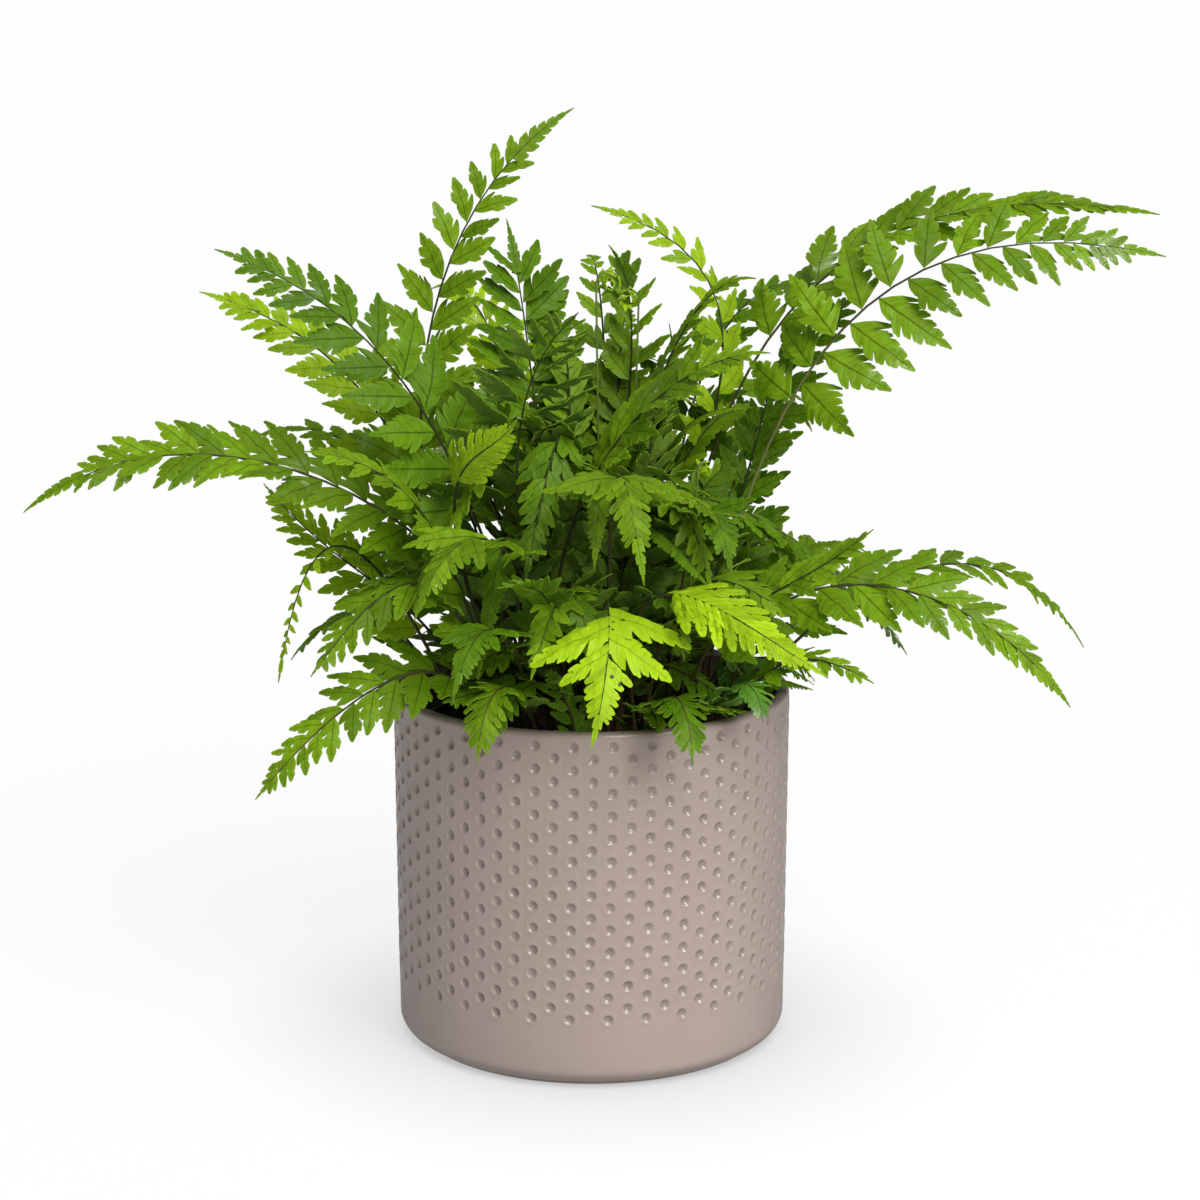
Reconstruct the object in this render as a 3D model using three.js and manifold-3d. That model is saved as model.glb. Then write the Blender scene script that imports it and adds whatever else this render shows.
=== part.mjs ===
// A fern in a glazed ceramic pot: the outer pot, the plastic nursery pot that stands in it, the soil,
// and the fronds, each of which grows out of the soil through a hole of its own.
// Millimetres, +Z up. The origin is the middle of the outer pot's flat foot, and -Y is the front.
import * as THREE from "three";
import { mergeVertices } from "three/addons/utils/BufferGeometryUtils.js";
import Module from "manifold-3d";

const wasm = await Module();
wasm.setup();

// Driving sizes of the outer pot
const POT_HEIGHT = 126;
const RIM_RADIUS = 70;
const BASE_RADIUS = 69.2;
const FOOT_RADIUS = 63.5;
const FOOT_STEP = 1.2;
const HEEL_ROUND = 6;
const HEEL_FROM = -75;
const WALL = 4.6;
const FLOOR = 7;
const LIP_ROUND = 2;
const ROUND_STEPS = 3;
const POT_SIDES = 36;

// The nursery pot inside it, and the soil inside that
const SEAT_GAP = 0.3;
const LINER_HEIGHT = 105;
const LINER_RIM_RADIUS = 61.5;
const LINER_FOOT_RADIUS = 47;
const LINER_WALL = 1.2;
const LINER_BAND = 9;
const LINER_BAND_PROUD = 1.6;
const SOIL_BELOW_LINER = 4;
const SOIL_MOUND = 4;
const MOUND_SHOULDER = 0.7;
const LINER_SIDES = 24;

// The stems, and the holes that they stand in
const STIPE_RADIUS = 1.05;
const RIB_TIP_RADIUS = 0.45;
const STIPE_STEPS = 3;
const ROOT_DEPTH = 12;
const HOLE_WIDTH = 2.7;
const HOLE_END = 0.5;
const HOLE_LENGTH = 30;

// The blades. Leaflets sweep forward, more so towards the tip, and their ends sag by a share of their length.
const BLADE_HALF = 0.33;
const BLADE_END = 0.985;
const CROWDING = 1.35;
const ALTERNATION = 0.5;
const SWEEP_LOW = THREE.MathUtils.degToRad(58);
const SWEEP_TIP = THREE.MathUtils.degToRad(44);
const LEAFLET_SLIM = 0.21;
const LEAFLET_FILL = 0.46;
const LEAFLET_SAG = 0.18;
const SHARE_TAPER = 0.8;
const SHARE_LEAST = 0.05;

// A leaflet's outline from its root to its tip along the trailing edge, and back along the leading edge,
// as shares of its length and of its half width. Higher up the blade the leaflets get plainer.
const CUTS = {
  lobed: { trailing: [[0.12, 0.35], [0.34, 1], [0.44, 0.62], [0.68, 0.66]],
    leading: [[0.66, 0.68], [0.42, 0.66], [0.27, 1.15], [0.1, 0.4]] },
  stalked: { trailing: [[0.12, 0.35], [0.38, 1]], leading: [[0.32, 1.1], [0.1, 0.4]] },
  plain: { trailing: [[0.36, 0.95]], leading: [[0.3, 1.05]] },
  tooth: { trailing: [], leading: [] },
};
const PLAIN_FROM = 0.55;
const TOOTH_FROM = 0.8;

const LINER_FLOOR_Z = FLOOR + SEAT_GAP;
const LINER_TOP_Z = LINER_FLOOR_Z + LINER_HEIGHT;
const SOIL_TOP_Z = LINER_TOP_Z - SOIL_BELOW_LINER;

const colours = {
  glaze: { color: 0xa3958a, roughness: 0.35, metalness: 0 },
  liner: { color: 0x1d1d1f, roughness: 0.6, metalness: 0 },
  soil: { color: 0x2c211a, roughness: 0.95, metalness: 0 },
  deep: { color: 0x3f7d1f, roughness: 0.5, metalness: 0 },
  mid: { color: 0x5a9a22, roughness: 0.5, metalness: 0 },
  young: { color: 0x9ccb2a, roughness: 0.5, metalness: 0 },
};

// Every frond: where it leaves the soil, the points that it passes at one and at two thirds of its length,
// its tip, the length of its longest leaflet and how many pairs it has, the bare share of the stem,
// how far the blade is rolled about the stem, how far the leaflets rise (+) or droop (-) from its plane,
// and how finely the leaflets are cut.
const fronds = [
  { name: "long_left", tint: "mid", cut: "lobed", root: [-26, -8], waist: [-50, -15, 172],
    crest: [-118, -31, 212], tip: [-191, -40, 195], leaflet: 27, pairs: 11, bare: 0.36, roll: -32, fold: 10 },
  { name: "upper_left", tint: "mid", cut: "lobed", root: [-15, -6], waist: [-36, -18, 178],
    crest: [-67, -32, 243], tip: [-125, -35, 283], leaflet: 31, pairs: 9, bare: 0.42, roll: -60, fold: 0 },
  { name: "upper_left_back", tint: "young", cut: "plain", root: [-32, 10], waist: [-52, 9, 170],
    crest: [-80, 6, 229], tip: [-137, 15, 263], leaflet: 27, pairs: 9, bare: 0.42, roll: -45, fold: 0 },
  { name: "tall", tint: "mid", cut: "stalked", root: [-26, 5], waist: [-58, 2, 190],
    crest: [-50, 10, 272], tip: [-6, 25, 326], leaflet: 27, pairs: 10, bare: 0.42, roll: 50, fold: 38 },
  { name: "top_dark", tint: "deep", cut: "stalked", root: [-6, 16], waist: [-14, 18, 160],
    crest: [-21, 22, 230], tip: [-30, 30, 287], leaflet: 27, pairs: 7, bare: 0.5, roll: -60, fold: 15 },
  { name: "back_yellow", tint: "young", cut: "plain", root: [-14, 30], waist: [-20, 44, 165],
    crest: [-34, 60, 235], tip: [-60, 84, 256], leaflet: 20, pairs: 6, bare: 0.5, roll: -40, fold: 0 },
  { name: "front_up", tint: "deep", cut: "stalked", root: [-12, -16], waist: [-22, -26, 165],
    crest: [-24, -34, 222], tip: [-4, -60, 265], leaflet: 32, pairs: 7, bare: 0.55, roll: 0, fold: 0 },
  { name: "top_yellow", tint: "young", cut: "plain", root: [16, 18], waist: [30, 14, 176],
    crest: [46, 15, 248], tip: [0, 15, 293], leaflet: 20, pairs: 8, bare: 0.5, roll: -50, fold: 0 },
  { name: "right_top", tint: "mid", cut: "stalked", root: [27, 18], waist: [42, 19, 203],
    crest: [92, 9, 277], tip: [191, -20, 293], leaflet: 27, pairs: 10, bare: 0.5, roll: 22, fold: 14 },
  { name: "right_flat", tint: "mid", cut: "lobed", root: [34, -10], waist: [53, -21, 195],
    crest: [98, -31, 268], tip: [190, -40, 281], leaflet: 29, pairs: 10, bare: 0.48, roll: 60, fold: 0 },
  { name: "right_mid", tint: "deep", cut: "plain", root: [36, 12], waist: [42, 20, 160],
    crest: [60, 25, 215], tip: [96, 32, 262], leaflet: 30, pairs: 7, bare: 0.35, roll: 30, fold: 0 },
  { name: "front_mid", tint: "mid", cut: "lobed", root: [6, -20], waist: [6, -35, 172],
    crest: [9, -78, 214], tip: [17, -106, 184], leaflet: 28, pairs: 7, bare: 0.5, roll: 0, fold: -20 },
  { name: "front_bright", tint: "young", cut: "lobed", root: [2, -34], waist: [4, -52, 150],
    crest: [6, -84, 170], tip: [0, -110, 131], leaflet: 28, pairs: 6, bare: 0.45, roll: 0, fold: -20 },
  { name: "front_right_bright", tint: "young", cut: "lobed", root: [18, -30], waist: [16, -54, 155],
    crest: [38, -88, 178], tip: [77, -114, 155], leaflet: 26, pairs: 6, bare: 0.45, roll: 10, fold: -10 },
  { name: "front_left", tint: "mid", cut: "lobed", root: [-8, -28], waist: [-18, -44, 162],
    crest: [-36, -74, 197], tip: [-56, -104, 174], leaflet: 28, pairs: 7, bare: 0.45, roll: 0, fold: -20 },
  { name: "front_left_low", tint: "deep", cut: "plain", root: [-18, -30], waist: [-24, -52, 145],
    crest: [-34, -82, 164], tip: [-44, -106, 146], leaflet: 22, pairs: 6, bare: 0.4, roll: 0, fold: -10 },
  { name: "young_left", tint: "young", cut: "stalked", root: [-18, -20], waist: [-34, -36, 162],
    crest: [-46, -52, 212], tip: [-24, -68, 246], leaflet: 15, pairs: 5, bare: 0.6, roll: 20, fold: 0 },
  { name: "rim_left", tint: "mid", cut: "stalked", root: [-14, -42], waist: [-22, -56, 132],
    crest: [-31, -76, 142], tip: [-38, -93, 119], leaflet: 15, pairs: 5, bare: 0.4, roll: 0, fold: -5 },
  { name: "low_left", tint: "mid", cut: "stalked", root: [-34, -30], waist: [-48, -48, 140],
    crest: [-77, -70, 138], tip: [-110, -86, 108], leaflet: 22, pairs: 8, bare: 0.35, roll: -25, fold: 0 },
  { name: "left_mid", tint: "mid", cut: "stalked", root: [-30, -20], waist: [-46, -38, 160],
    crest: [-66, -56, 172], tip: [-92, -76, 147], leaflet: 24, pairs: 7, bare: 0.4, roll: -20, fold: -10 },
  { name: "left_thin", tint: "mid", cut: "plain", root: [-38, 0], waist: [-55, 0, 142],
    crest: [-82, 2, 166], tip: [-115, 4, 197], leaflet: 21, pairs: 8, bare: 0.4, roll: -60, fold: 0 },
  { name: "left_hang", tint: "young", cut: "plain", root: [-37, -10], waist: [-66, -20, 160],
    crest: [-90, -26, 180], tip: [-107, -36, 135], leaflet: 8, pairs: 7, bare: 0.5, roll: -30, fold: 0 },
  { name: "right_main", tint: "mid", cut: "lobed", root: [38, -16], waist: [62, -24, 158],
    crest: [112, -48, 168], tip: [160, -62, 133], leaflet: 31, pairs: 9, bare: 0.33, roll: 35, fold: 0 },
  { name: "right_second", tint: "mid", cut: "stalked", root: [42, 2], waist: [80, 4, 147],
    crest: [131, 10, 167], tip: [176, 12, 136], leaflet: 24, pairs: 9, bare: 0.42, roll: 10, fold: 5 },
  { name: "right_low", tint: "mid", cut: "plain", root: [40, -28], waist: [58, -42, 135],
    crest: [78, -58, 146], tip: [99, -68, 131], leaflet: 17, pairs: 6, bare: 0.4, roll: 10, fold: 0 },
  { name: "rim_right", tint: "deep", cut: "stalked", root: [16, -44], waist: [22, -60, 130],
    crest: [29, -80, 140], tip: [35, -97, 117], leaflet: 15, pairs: 5, bare: 0.4, roll: 0, fold: -5 },
  { name: "rim_right_back", tint: "deep", cut: "plain", root: [30, -36], waist: [42, -46, 130],
    crest: [52, -58, 140], tip: [60, -70, 129], leaflet: 15, pairs: 4, bare: 0.45, roll: 0, fold: -5 },
  { name: "centre_right", tint: "mid", cut: "lobed", root: [-4, -10], waist: [-10, -32, 176],
    crest: [18, -52, 232], tip: [58, -69, 253], leaflet: 31, pairs: 7, bare: 0.5, roll: 38, fold: 10 },
  { name: "centre_left", tint: "mid", cut: "plain", root: [-24, -16], waist: [-43, -36, 164],
    crest: [-62, -52, 204], tip: [-94, -64, 220], leaflet: 24, pairs: 6, bare: 0.45, roll: -35, fold: 0 },
  { name: "crown_mid", tint: "mid", cut: "plain", root: [6, 10], waist: [8, 12, 175],
    crest: [14, 14, 240], tip: [6, 8, 280], leaflet: 23, pairs: 6, bare: 0.45, roll: -30, fold: 0 },
  { name: "crown_right", tint: "deep", cut: "plain", root: [22, 28], waist: [28, 38, 175],
    crest: [44, 48, 238], tip: [78, 56, 262], leaflet: 24, pairs: 6, bare: 0.5, roll: 30, fold: 0 },
  { name: "crown_front", tint: "mid", cut: "plain", root: [12, -6], waist: [12, -12, 180],
    crest: [28, -18, 247], tip: [55, -33, 273], leaflet: 26, pairs: 6, bare: 0.5, roll: 30, fold: 0 },
  { name: "right_inner", tint: "deep", cut: "plain", root: [38, 0], waist: [47, 4, 165],
    crest: [56, 6, 205], tip: [64, 4, 240], leaflet: 24, pairs: 6, bare: 0.4, roll: 70, fold: 0 },
  { name: "right_glossy", tint: "mid", cut: "plain", root: [26, -26], waist: [40, -40, 148],
    crest: [62, -58, 172], tip: [92, -74, 196], leaflet: 24, pairs: 6, bare: 0.4, roll: 40, fold: 0 },
  { name: "centre_low", tint: "deep", cut: "plain", root: [-6, -22], waist: [-10, -50, 150],
    crest: [-16, -80, 176], tip: [-30, -100, 182], leaflet: 22, pairs: 6, bare: 0.4, roll: 0, fold: 0 },
  { name: "fill_left", tint: "deep", cut: "plain", root: [0, -1], waist: [-5, -2, 150],
    crest: [-12, -3, 182], tip: [-36, -4, 206], leaflet: 26, pairs: 6, bare: 0.35, roll: -80, fold: 0 },
  { name: "fill_right", tint: "deep", cut: "plain", root: [18, -2], waist: [22, -3, 150],
    crest: [29, -4, 182], tip: [50, -5, 208], leaflet: 26, pairs: 6, bare: 0.35, roll: 80, fold: 0 },
  { name: "front_right_high", tint: "deep", cut: "plain", root: [24, -18], waist: [30, -26, 160],
    crest: [38, -46, 196], tip: [46, -76, 180], leaflet: 24, pairs: 6, bare: 0.4, roll: 0, fold: 0 },
  { name: "young_rim_mid", tint: "deep", cut: "plain", root: [-3, -50], waist: [-5, -55, 119],
    crest: [-8, -58, 133], tip: [-15, -61, 146], leaflet: 13, pairs: 5, bare: 0.3, roll: -80, fold: 0 },
  { name: "young_side_right", tint: "mid", cut: "plain", root: [44, -20], waist: [46, -23, 122],
    crest: [53, -26, 142], tip: [64, -29, 156], leaflet: 13, pairs: 5, bare: 0.35, roll: 80, fold: 0 },
  { name: "back_left", tint: "mid", cut: "plain", root: [-22, 30], waist: [-34, 54, 175],
    crest: [-56, 88, 215], tip: [-82, 124, 190], leaflet: 28, pairs: 7, bare: 0.4, roll: 0, fold: -5 },
  { name: "back_mid", tint: "deep", cut: "plain", root: [0, 36], waist: [2, 60, 185],
    crest: [4, 98, 222], tip: [2, 142, 185], leaflet: 28, pairs: 7, bare: 0.4, roll: 0, fold: -5 },
  { name: "back_right", tint: "mid", cut: "plain", root: [20, 34], waist: [36, 58, 180],
    crest: [58, 92, 218], tip: [86, 128, 195], leaflet: 28, pairs: 7, bare: 0.4, roll: 0, fold: -5 },
  { name: "back_low_left", tint: "deep", cut: "plain", root: [-34, 24], waist: [-52, 50, 145],
    crest: [-72, 80, 162], tip: [-88, 112, 132], leaflet: 24, pairs: 6, bare: 0.35, roll: 0, fold: -5 },
  { name: "back_low_mid", tint: "mid", cut: "plain", root: [8, 44], waist: [12, 66, 140],
    crest: [20, 96, 158], tip: [30, 128, 130], leaflet: 24, pairs: 6, bare: 0.35, roll: 0, fold: -5 },
  { name: "back_low_right", tint: "deep", cut: "plain", root: [36, 26], waist: [56, 48, 142],
    crest: [78, 74, 160], tip: [98, 100, 134], leaflet: 24, pairs: 6, bare: 0.35, roll: 0, fold: -5 },
  { name: "back_up", tint: "mid", cut: "plain", root: [6, 26], waist: [6, 36, 178],
    crest: [4, 54, 246], tip: [-2, 86, 268], leaflet: 22, pairs: 6, bare: 0.5, roll: 0, fold: 0 },
  { name: "left_back", tint: "mid", cut: "plain", root: [-36, 16], waist: [-54, 26, 160],
    crest: [-84, 38, 203], tip: [-128, 50, 204], leaflet: 24, pairs: 7, bare: 0.4, roll: 0, fold: 0 },
  { name: "right_back", tint: "mid", cut: "plain", root: [42, 16], waist: [60, 27, 162],
    crest: [92, 40, 206], tip: [138, 52, 208], leaflet: 24, pairs: 7, bare: 0.4, roll: 0, fold: 0 },
  { name: "side_low_left", tint: "mid", cut: "plain", root: [-42, 8], waist: [-60, 14, 130],
    crest: [-82, 24, 146], tip: [-110, 34, 126], leaflet: 19, pairs: 6, bare: 0.4, roll: 0, fold: 0 },
  { name: "side_low_right", tint: "deep", cut: "plain", root: [47, 10], waist: [64, 20, 130],
    crest: [88, 32, 148], tip: [116, 42, 126], leaflet: 20, pairs: 6, bare: 0.4, roll: 0, fold: 0 },
];

function toManifold(geometry) {
  const bare = geometry.clone();
  bare.deleteAttribute("normal");
  bare.deleteAttribute("uv");
  const merged = mergeVertices(bare, 1e-4);
  return new wasm.Manifold(new wasm.Mesh({
    numProp: 3,
    vertProperties: merged.attributes.position.array,
    triVerts: new Uint32Array(merged.index.array),
  }));
}

function toGeometry(solid) {
  const mesh = solid.getMesh();
  const geometry = new THREE.BufferGeometry();
  geometry.setAttribute("position", new THREE.BufferAttribute(mesh.vertProperties, mesh.numProp));
  geometry.setIndex(new THREE.BufferAttribute(mesh.triVerts, 1));
  geometry.computeVertexNormals();
  return geometry;
}

// LatheGeometry turns a profile of (radius, height) about Y, so the result is stood up on +Z.
function turned(profile, sides) {
  const points = profile.map(([r, z]) => new THREE.Vector2(r, z));
  return new THREE.LatheGeometry(points, sides).rotateX(Math.PI / 2);
}

// Points of a quarter round about (cr, cz), from one angle to another in degrees
function quarter(cr, cz, radius, from, to) {
  return Array.from({ length: ROUND_STEPS + 1 }, (_, i) => {
    const a = THREE.MathUtils.degToRad(from + ((to - from) * i) / ROUND_STEPS);
    return [cr + radius * Math.cos(a), cz + radius * Math.sin(a)];
  });
}

function outerPot() {
  const profile = [
    [0, 0],
    [FOOT_RADIUS, 0],
    ...quarter(BASE_RADIUS - HEEL_ROUND, FOOT_STEP + HEEL_ROUND, HEEL_ROUND, HEEL_FROM, 0),
    ...quarter(RIM_RADIUS - LIP_ROUND, POT_HEIGHT - LIP_ROUND, LIP_ROUND, 0, 90),
    ...quarter(RIM_RADIUS - WALL + LIP_ROUND, POT_HEIGHT - LIP_ROUND, LIP_ROUND, 90, 180),
    [BASE_RADIUS - WALL, FLOOR + HEEL_ROUND],
    [BASE_RADIUS - WALL - HEEL_ROUND, FLOOR],
    [0, FLOOR],
  ];
  return turned(profile, POT_SIDES);
}

function nurseryPot() {
  const foot = LINER_FLOOR_Z;
  const top = LINER_TOP_Z;
  const band = top - LINER_BAND;
  const profile = [
    [0, foot],
    [LINER_FOOT_RADIUS, foot],
    [LINER_RIM_RADIUS - LINER_BAND_PROUD, band],
    [LINER_RIM_RADIUS, band],
    [LINER_RIM_RADIUS, top],
    [LINER_RIM_RADIUS - LINER_WALL - LINER_BAND_PROUD, top],
    [LINER_FOOT_RADIUS - LINER_WALL, foot + LINER_WALL],
    [0, foot + LINER_WALL],
  ];
  return turned(profile, LINER_SIDES);
}

// The root ball fills the nursery pot, and a plain square hole takes each stem.
function soil() {
  const foot = LINER_FLOOR_Z + LINER_WALL + SEAT_GAP;
  const innerFoot = LINER_FOOT_RADIUS - LINER_WALL;
  const innerRim = LINER_RIM_RADIUS - LINER_WALL - LINER_BAND_PROUD;
  const slope = (innerRim - innerFoot) / (LINER_HEIGHT - LINER_WALL);
  const radiusAt = (z) => innerFoot + slope * (z - LINER_FLOOR_Z - LINER_WALL) - SEAT_GAP;
  const profile = [
    [0, foot],
    [radiusAt(foot), foot],
    [radiusAt(SOIL_TOP_Z), SOIL_TOP_Z],
    [radiusAt(SOIL_TOP_Z) * MOUND_SHOULDER, SOIL_TOP_Z + SOIL_MOUND * MOUND_SHOULDER],
    [0, SOIL_TOP_Z + SOIL_MOUND],
  ];
  let ball = toManifold(turned(profile, LINER_SIDES));
  for (const frond of fronds) {
    const path = spine(frond);
    const start = path.at(0);
    const along = path.at(frond.bare / STIPE_STEPS).sub(start).normalize();
    const hole = new THREE.BoxGeometry(HOLE_WIDTH, HOLE_LENGTH, HOLE_WIDTH);
    hole.applyQuaternion(new THREE.Quaternion().setFromUnitVectors(new THREE.Vector3(0, 1, 0), along));
    const middle = start.clone().addScaledVector(along, HOLE_LENGTH / 2 - HOLE_END);
    hole.translate(middle.x, middle.y, middle.z);
    ball = ball.subtract(toManifold(hole));
  }
  return toGeometry(ball);
}

// A frond's spine is the one cubic that starts under the soil, passes waist and crest at a third and at two
// thirds of its parameter, and ends at the tip. Its frame at a share of its length is the way that it runs,
// the blade's left side and its upper face.
function spine(frond) {
  const ends = [
    [...frond.root, SOIL_TOP_Z - ROOT_DEPTH], frond.waist, frond.crest, frond.tip,
  ].map((p) => new THREE.Vector3(...p));
  const handle = (...weights) => weights.reduce(
    (sum, weight, i) => sum.addScaledVector(ends[i], weight / 6), new THREE.Vector3());
  const curve = new THREE.CubicBezierCurve3(
    ends[0], handle(-5, 18, -9, 2), handle(2, -9, 18, -5), ends[3]);
  const heading = ends[3].clone().sub(ends[0]).setZ(0).normalize();
  const level = new THREE.Vector3(-heading.y, heading.x, 0);
  return {
    at: (share) => curve.getPointAt(share),
    frame: (share) => {
      const tangent = curve.getTangentAt(share);
      const side = level.clone().addScaledVector(tangent, -level.dot(tangent)).normalize();
      side.applyAxisAngle(tangent, THREE.MathUtils.degToRad(frond.roll));
      return { tangent, side, face: tangent.clone().cross(side) };
    },
  };
}

// Points and faces of one closed skin
class Skin {
  points = [];
  faces = [];

  // A pair of points on the upper and the lower face, either side of a place in the blade
  pair(place, up, half) {
    const top = this.points.push(place.clone().addScaledVector(up, half)) - 1;
    const low = this.points.push(place.clone().addScaledVector(up, -half)) - 1;
    return { place, top, low };
  }

  face(...corners) {
    for (let k = 1; k + 1 < corners.length; k++) this.faces.push([corners[0], corners[k], corners[k + 1]]);
  }

  geometry() {
    const geometry = new THREE.BufferGeometry().setFromPoints(this.points);
    geometry.setIndex(this.faces.flat());
    geometry.computeVertexNormals();
    return geometry;
  }
}

// Where the rib is ringed: evenly up the bare stem, then once for each pair of leaflets, closer near the tip
function ribStations(frond) {
  const stem = Array.from({ length: STIPE_STEPS }, (_, i) => (frond.bare * i) / STIPE_STEPS);
  const blade = Array.from({ length: frond.pairs + 1 }, (_, i) => {
    const grown = 1 - Math.pow(1 - i / frond.pairs, CROWDING);
    return THREE.MathUtils.lerp(frond.bare, BLADE_END, grown);
  });
  const shares = [...stem, ...blade];
  return shares.map((share, i) => {
    const inBlade = i >= STIPE_STEPS && i + 1 < shares.length;
    return { share, skew: inBlade ? ALTERNATION * (shares[i + 1] - share) : 0, ridged: i <= STIPE_STEPS };
  });
}

// A ring of the rib. Its right edge is skewed forward in the blade, so that the leaflets alternate.
function ribRing(skin, path, { share, skew, ridged }) {
  const radius = THREE.MathUtils.lerp(STIPE_RADIUS, RIB_TIP_RADIUS, share);
  const edge = (at, way, half) => {
    const { side, face } = path.frame(at);
    return skin.pair(path.at(at).addScaledVector(side, way * radius), face, half);
  };
  return {
    left: edge(share, 1, BLADE_HALF),
    right: edge(share + skew, -1, BLADE_HALF),
    ridge: ridged ? edge(share + skew / 2, 0, radius) : null,
  };
}

// One leaflet between two points of the rib's edge, which is the left one for way 1 and the right one for -1.
// share is its place on the spine, and v its place in the blade.
function addLeaflet(skin, frond, path, from, to, way, share, v) {
  const { tangent, side, face } = path.frame(share);
  const fold = THREE.MathUtils.degToRad(frond.fold);
  const sweep = THREE.MathUtils.lerp(SWEEP_LOW, SWEEP_TIP, v);
  const out = side.clone().multiplyScalar(way * Math.cos(fold)).addScaledVector(face, Math.sin(fold));
  const up = face.clone().multiplyScalar(Math.cos(fold)).addScaledVector(side, -way * Math.sin(fold));
  const along = tangent.clone().multiplyScalar(Math.cos(sweep)).addScaledVector(out, Math.sin(sweep));
  const across = tangent.clone().multiplyScalar(Math.sin(sweep)).addScaledVector(out, -Math.cos(sweep));

  const root = from.place.clone().lerp(to.place, 0.5);
  const length = frond.leaflet * (Math.pow(1 - v, SHARE_TAPER) + SHARE_LEAST);
  const room = LEAFLET_FILL * Math.sin(sweep) * from.place.distanceTo(to.place);
  const width = Math.min(LEAFLET_SLIM * length, room);
  const cut = v > TOOTH_FROM ? CUTS.tooth : v > PLAIN_FROM ? CUTS.plain : CUTS[frond.cut];
  const outline = [...cut.trailing.map(([x, y]) => [x, -y]), [1, 0], ...cut.leading];
  const rim = outline.map(([x, y]) => {
    const place = root.clone().addScaledVector(along, x * length).addScaledVector(across, y * width);
    return skin.pair(place.addScaledVector(up, -LEAFLET_SAG * x * x * length), up, BLADE_HALF);
  });

  const loop = [from, ...rim, to];
  if (way < 0) loop.reverse();
  const flat = loop.map(({ place }) => {
    const reach = place.clone().sub(root);
    return new THREE.Vector2(reach.dot(along), -way * reach.dot(across));
  });
  for (const [i, j, k] of THREE.ShapeUtils.triangulateShape(flat, [])) {
    skin.face(loop[i].top, loop[j].top, loop[k].top);
    skin.face(loop[i].low, loop[k].low, loop[j].low);
  }
  for (let k = 0; k + 1 < loop.length; k++) {
    skin.face(loop[k].top, loop[k + 1].top, loop[k + 1].low, loop[k].low);
  }
}

// The whole frond is one closed skin: a ridged stem, then a flat rib whose edges carry the leaflets.
function frondGeometry(frond) {
  const path = spine(frond);
  const skin = new Skin();
  const stations = ribStations(frond);
  const rings = stations.map((station) => ribRing(skin, path, station));
  for (let i = 0; i + 1 < rings.length; i++) {
    const [a, b] = [rings[i], rings[i + 1]];
    if (i < STIPE_STEPS) {
      skin.face(a.ridge.top, b.ridge.top, b.left.top, a.left.top);
      skin.face(a.right.top, b.right.top, b.ridge.top, a.ridge.top);
      skin.face(a.left.low, b.left.low, b.ridge.low, a.ridge.low);
      skin.face(a.ridge.low, b.ridge.low, b.right.low, a.right.low);
      skin.face(a.left.top, b.left.top, b.left.low, a.left.low);
      skin.face(a.right.low, b.right.low, b.right.top, a.right.top);
    } else {
      const share = (stations[i].share + stations[i + 1].share) / 2;
      const v = (i - STIPE_STEPS + 0.5) / frond.pairs;
      skin.face(a.right.top, b.right.top, b.left.top, a.left.top);
      skin.face(a.left.low, b.left.low, b.right.low, a.right.low);
      addLeaflet(skin, frond, path, a.left, b.left, 1, share, v);
      addLeaflet(skin, frond, path, a.right, b.right, -1, share, v);
    }
  }
  const { left, ridge, right } = rings[0];
  skin.face(left.top, left.low, ridge.low, right.low, right.top, ridge.top);
  const neck = rings[STIPE_STEPS];
  skin.face(neck.ridge.top, neck.right.top, neck.left.top);
  skin.face(neck.ridge.low, neck.left.low, neck.right.low);
  const end = rings.at(-1);
  skin.face(end.left.top, end.right.top, end.right.low, end.left.low);
  return skin.geometry();
}

const plant = new THREE.Group();

function addPiece(name, geometry, colour) {
  const mesh = new THREE.Mesh(geometry, new THREE.MeshStandardMaterial(colours[colour]));
  mesh.name = name;
  plant.add(mesh);
}

addPiece("outer_pot", outerPot(), "glaze");
addPiece("nursery_pot", nurseryPot(), "liner");
addPiece("soil", soil(), "soil");
for (const frond of fronds) addPiece("frond_" + frond.name, frondGeometry(frond), frond.tint);

export default plant;
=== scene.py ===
"""A fern in a dimpled, glazed pot: the looks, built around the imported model.

The pot, the nursery pot, the soil and every frond replace their plain solids. Most fronds follow the spine of
their solid. A few that droop or stand otherwise in the photograph keep its root, and their own course from
there. Run as a script, it makes the whole scene.
"""

import math
import random

import bpy
from bpy.props import FloatProperty, FloatVectorProperty, IntProperty, PointerProperty
from mathutils import Euler, Matrix, Vector, noise


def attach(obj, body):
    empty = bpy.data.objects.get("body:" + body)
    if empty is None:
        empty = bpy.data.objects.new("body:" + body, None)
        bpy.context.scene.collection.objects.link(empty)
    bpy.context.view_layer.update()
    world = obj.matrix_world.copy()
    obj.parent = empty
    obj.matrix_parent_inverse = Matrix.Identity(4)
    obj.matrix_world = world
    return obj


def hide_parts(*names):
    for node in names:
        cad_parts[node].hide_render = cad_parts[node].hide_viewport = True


bl_info = {
    "name": "Potted fern",
    "version": (1, 0, 0),
    "blender": (4, 5, 0),
    "location": "3D View > Sidebar > Fern",
    "description": "Dresses a packed potted fern with a dimpled glaze, soil and finely cut fronds",
    "category": "Object",
}

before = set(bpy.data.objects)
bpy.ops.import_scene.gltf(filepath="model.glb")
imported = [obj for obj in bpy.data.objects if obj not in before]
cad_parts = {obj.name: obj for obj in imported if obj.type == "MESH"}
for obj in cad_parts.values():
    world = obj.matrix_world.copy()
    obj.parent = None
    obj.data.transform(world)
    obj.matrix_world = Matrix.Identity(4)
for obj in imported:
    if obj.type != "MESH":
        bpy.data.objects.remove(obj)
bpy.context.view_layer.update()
BODY = "root"
MM = 0.001

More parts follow.
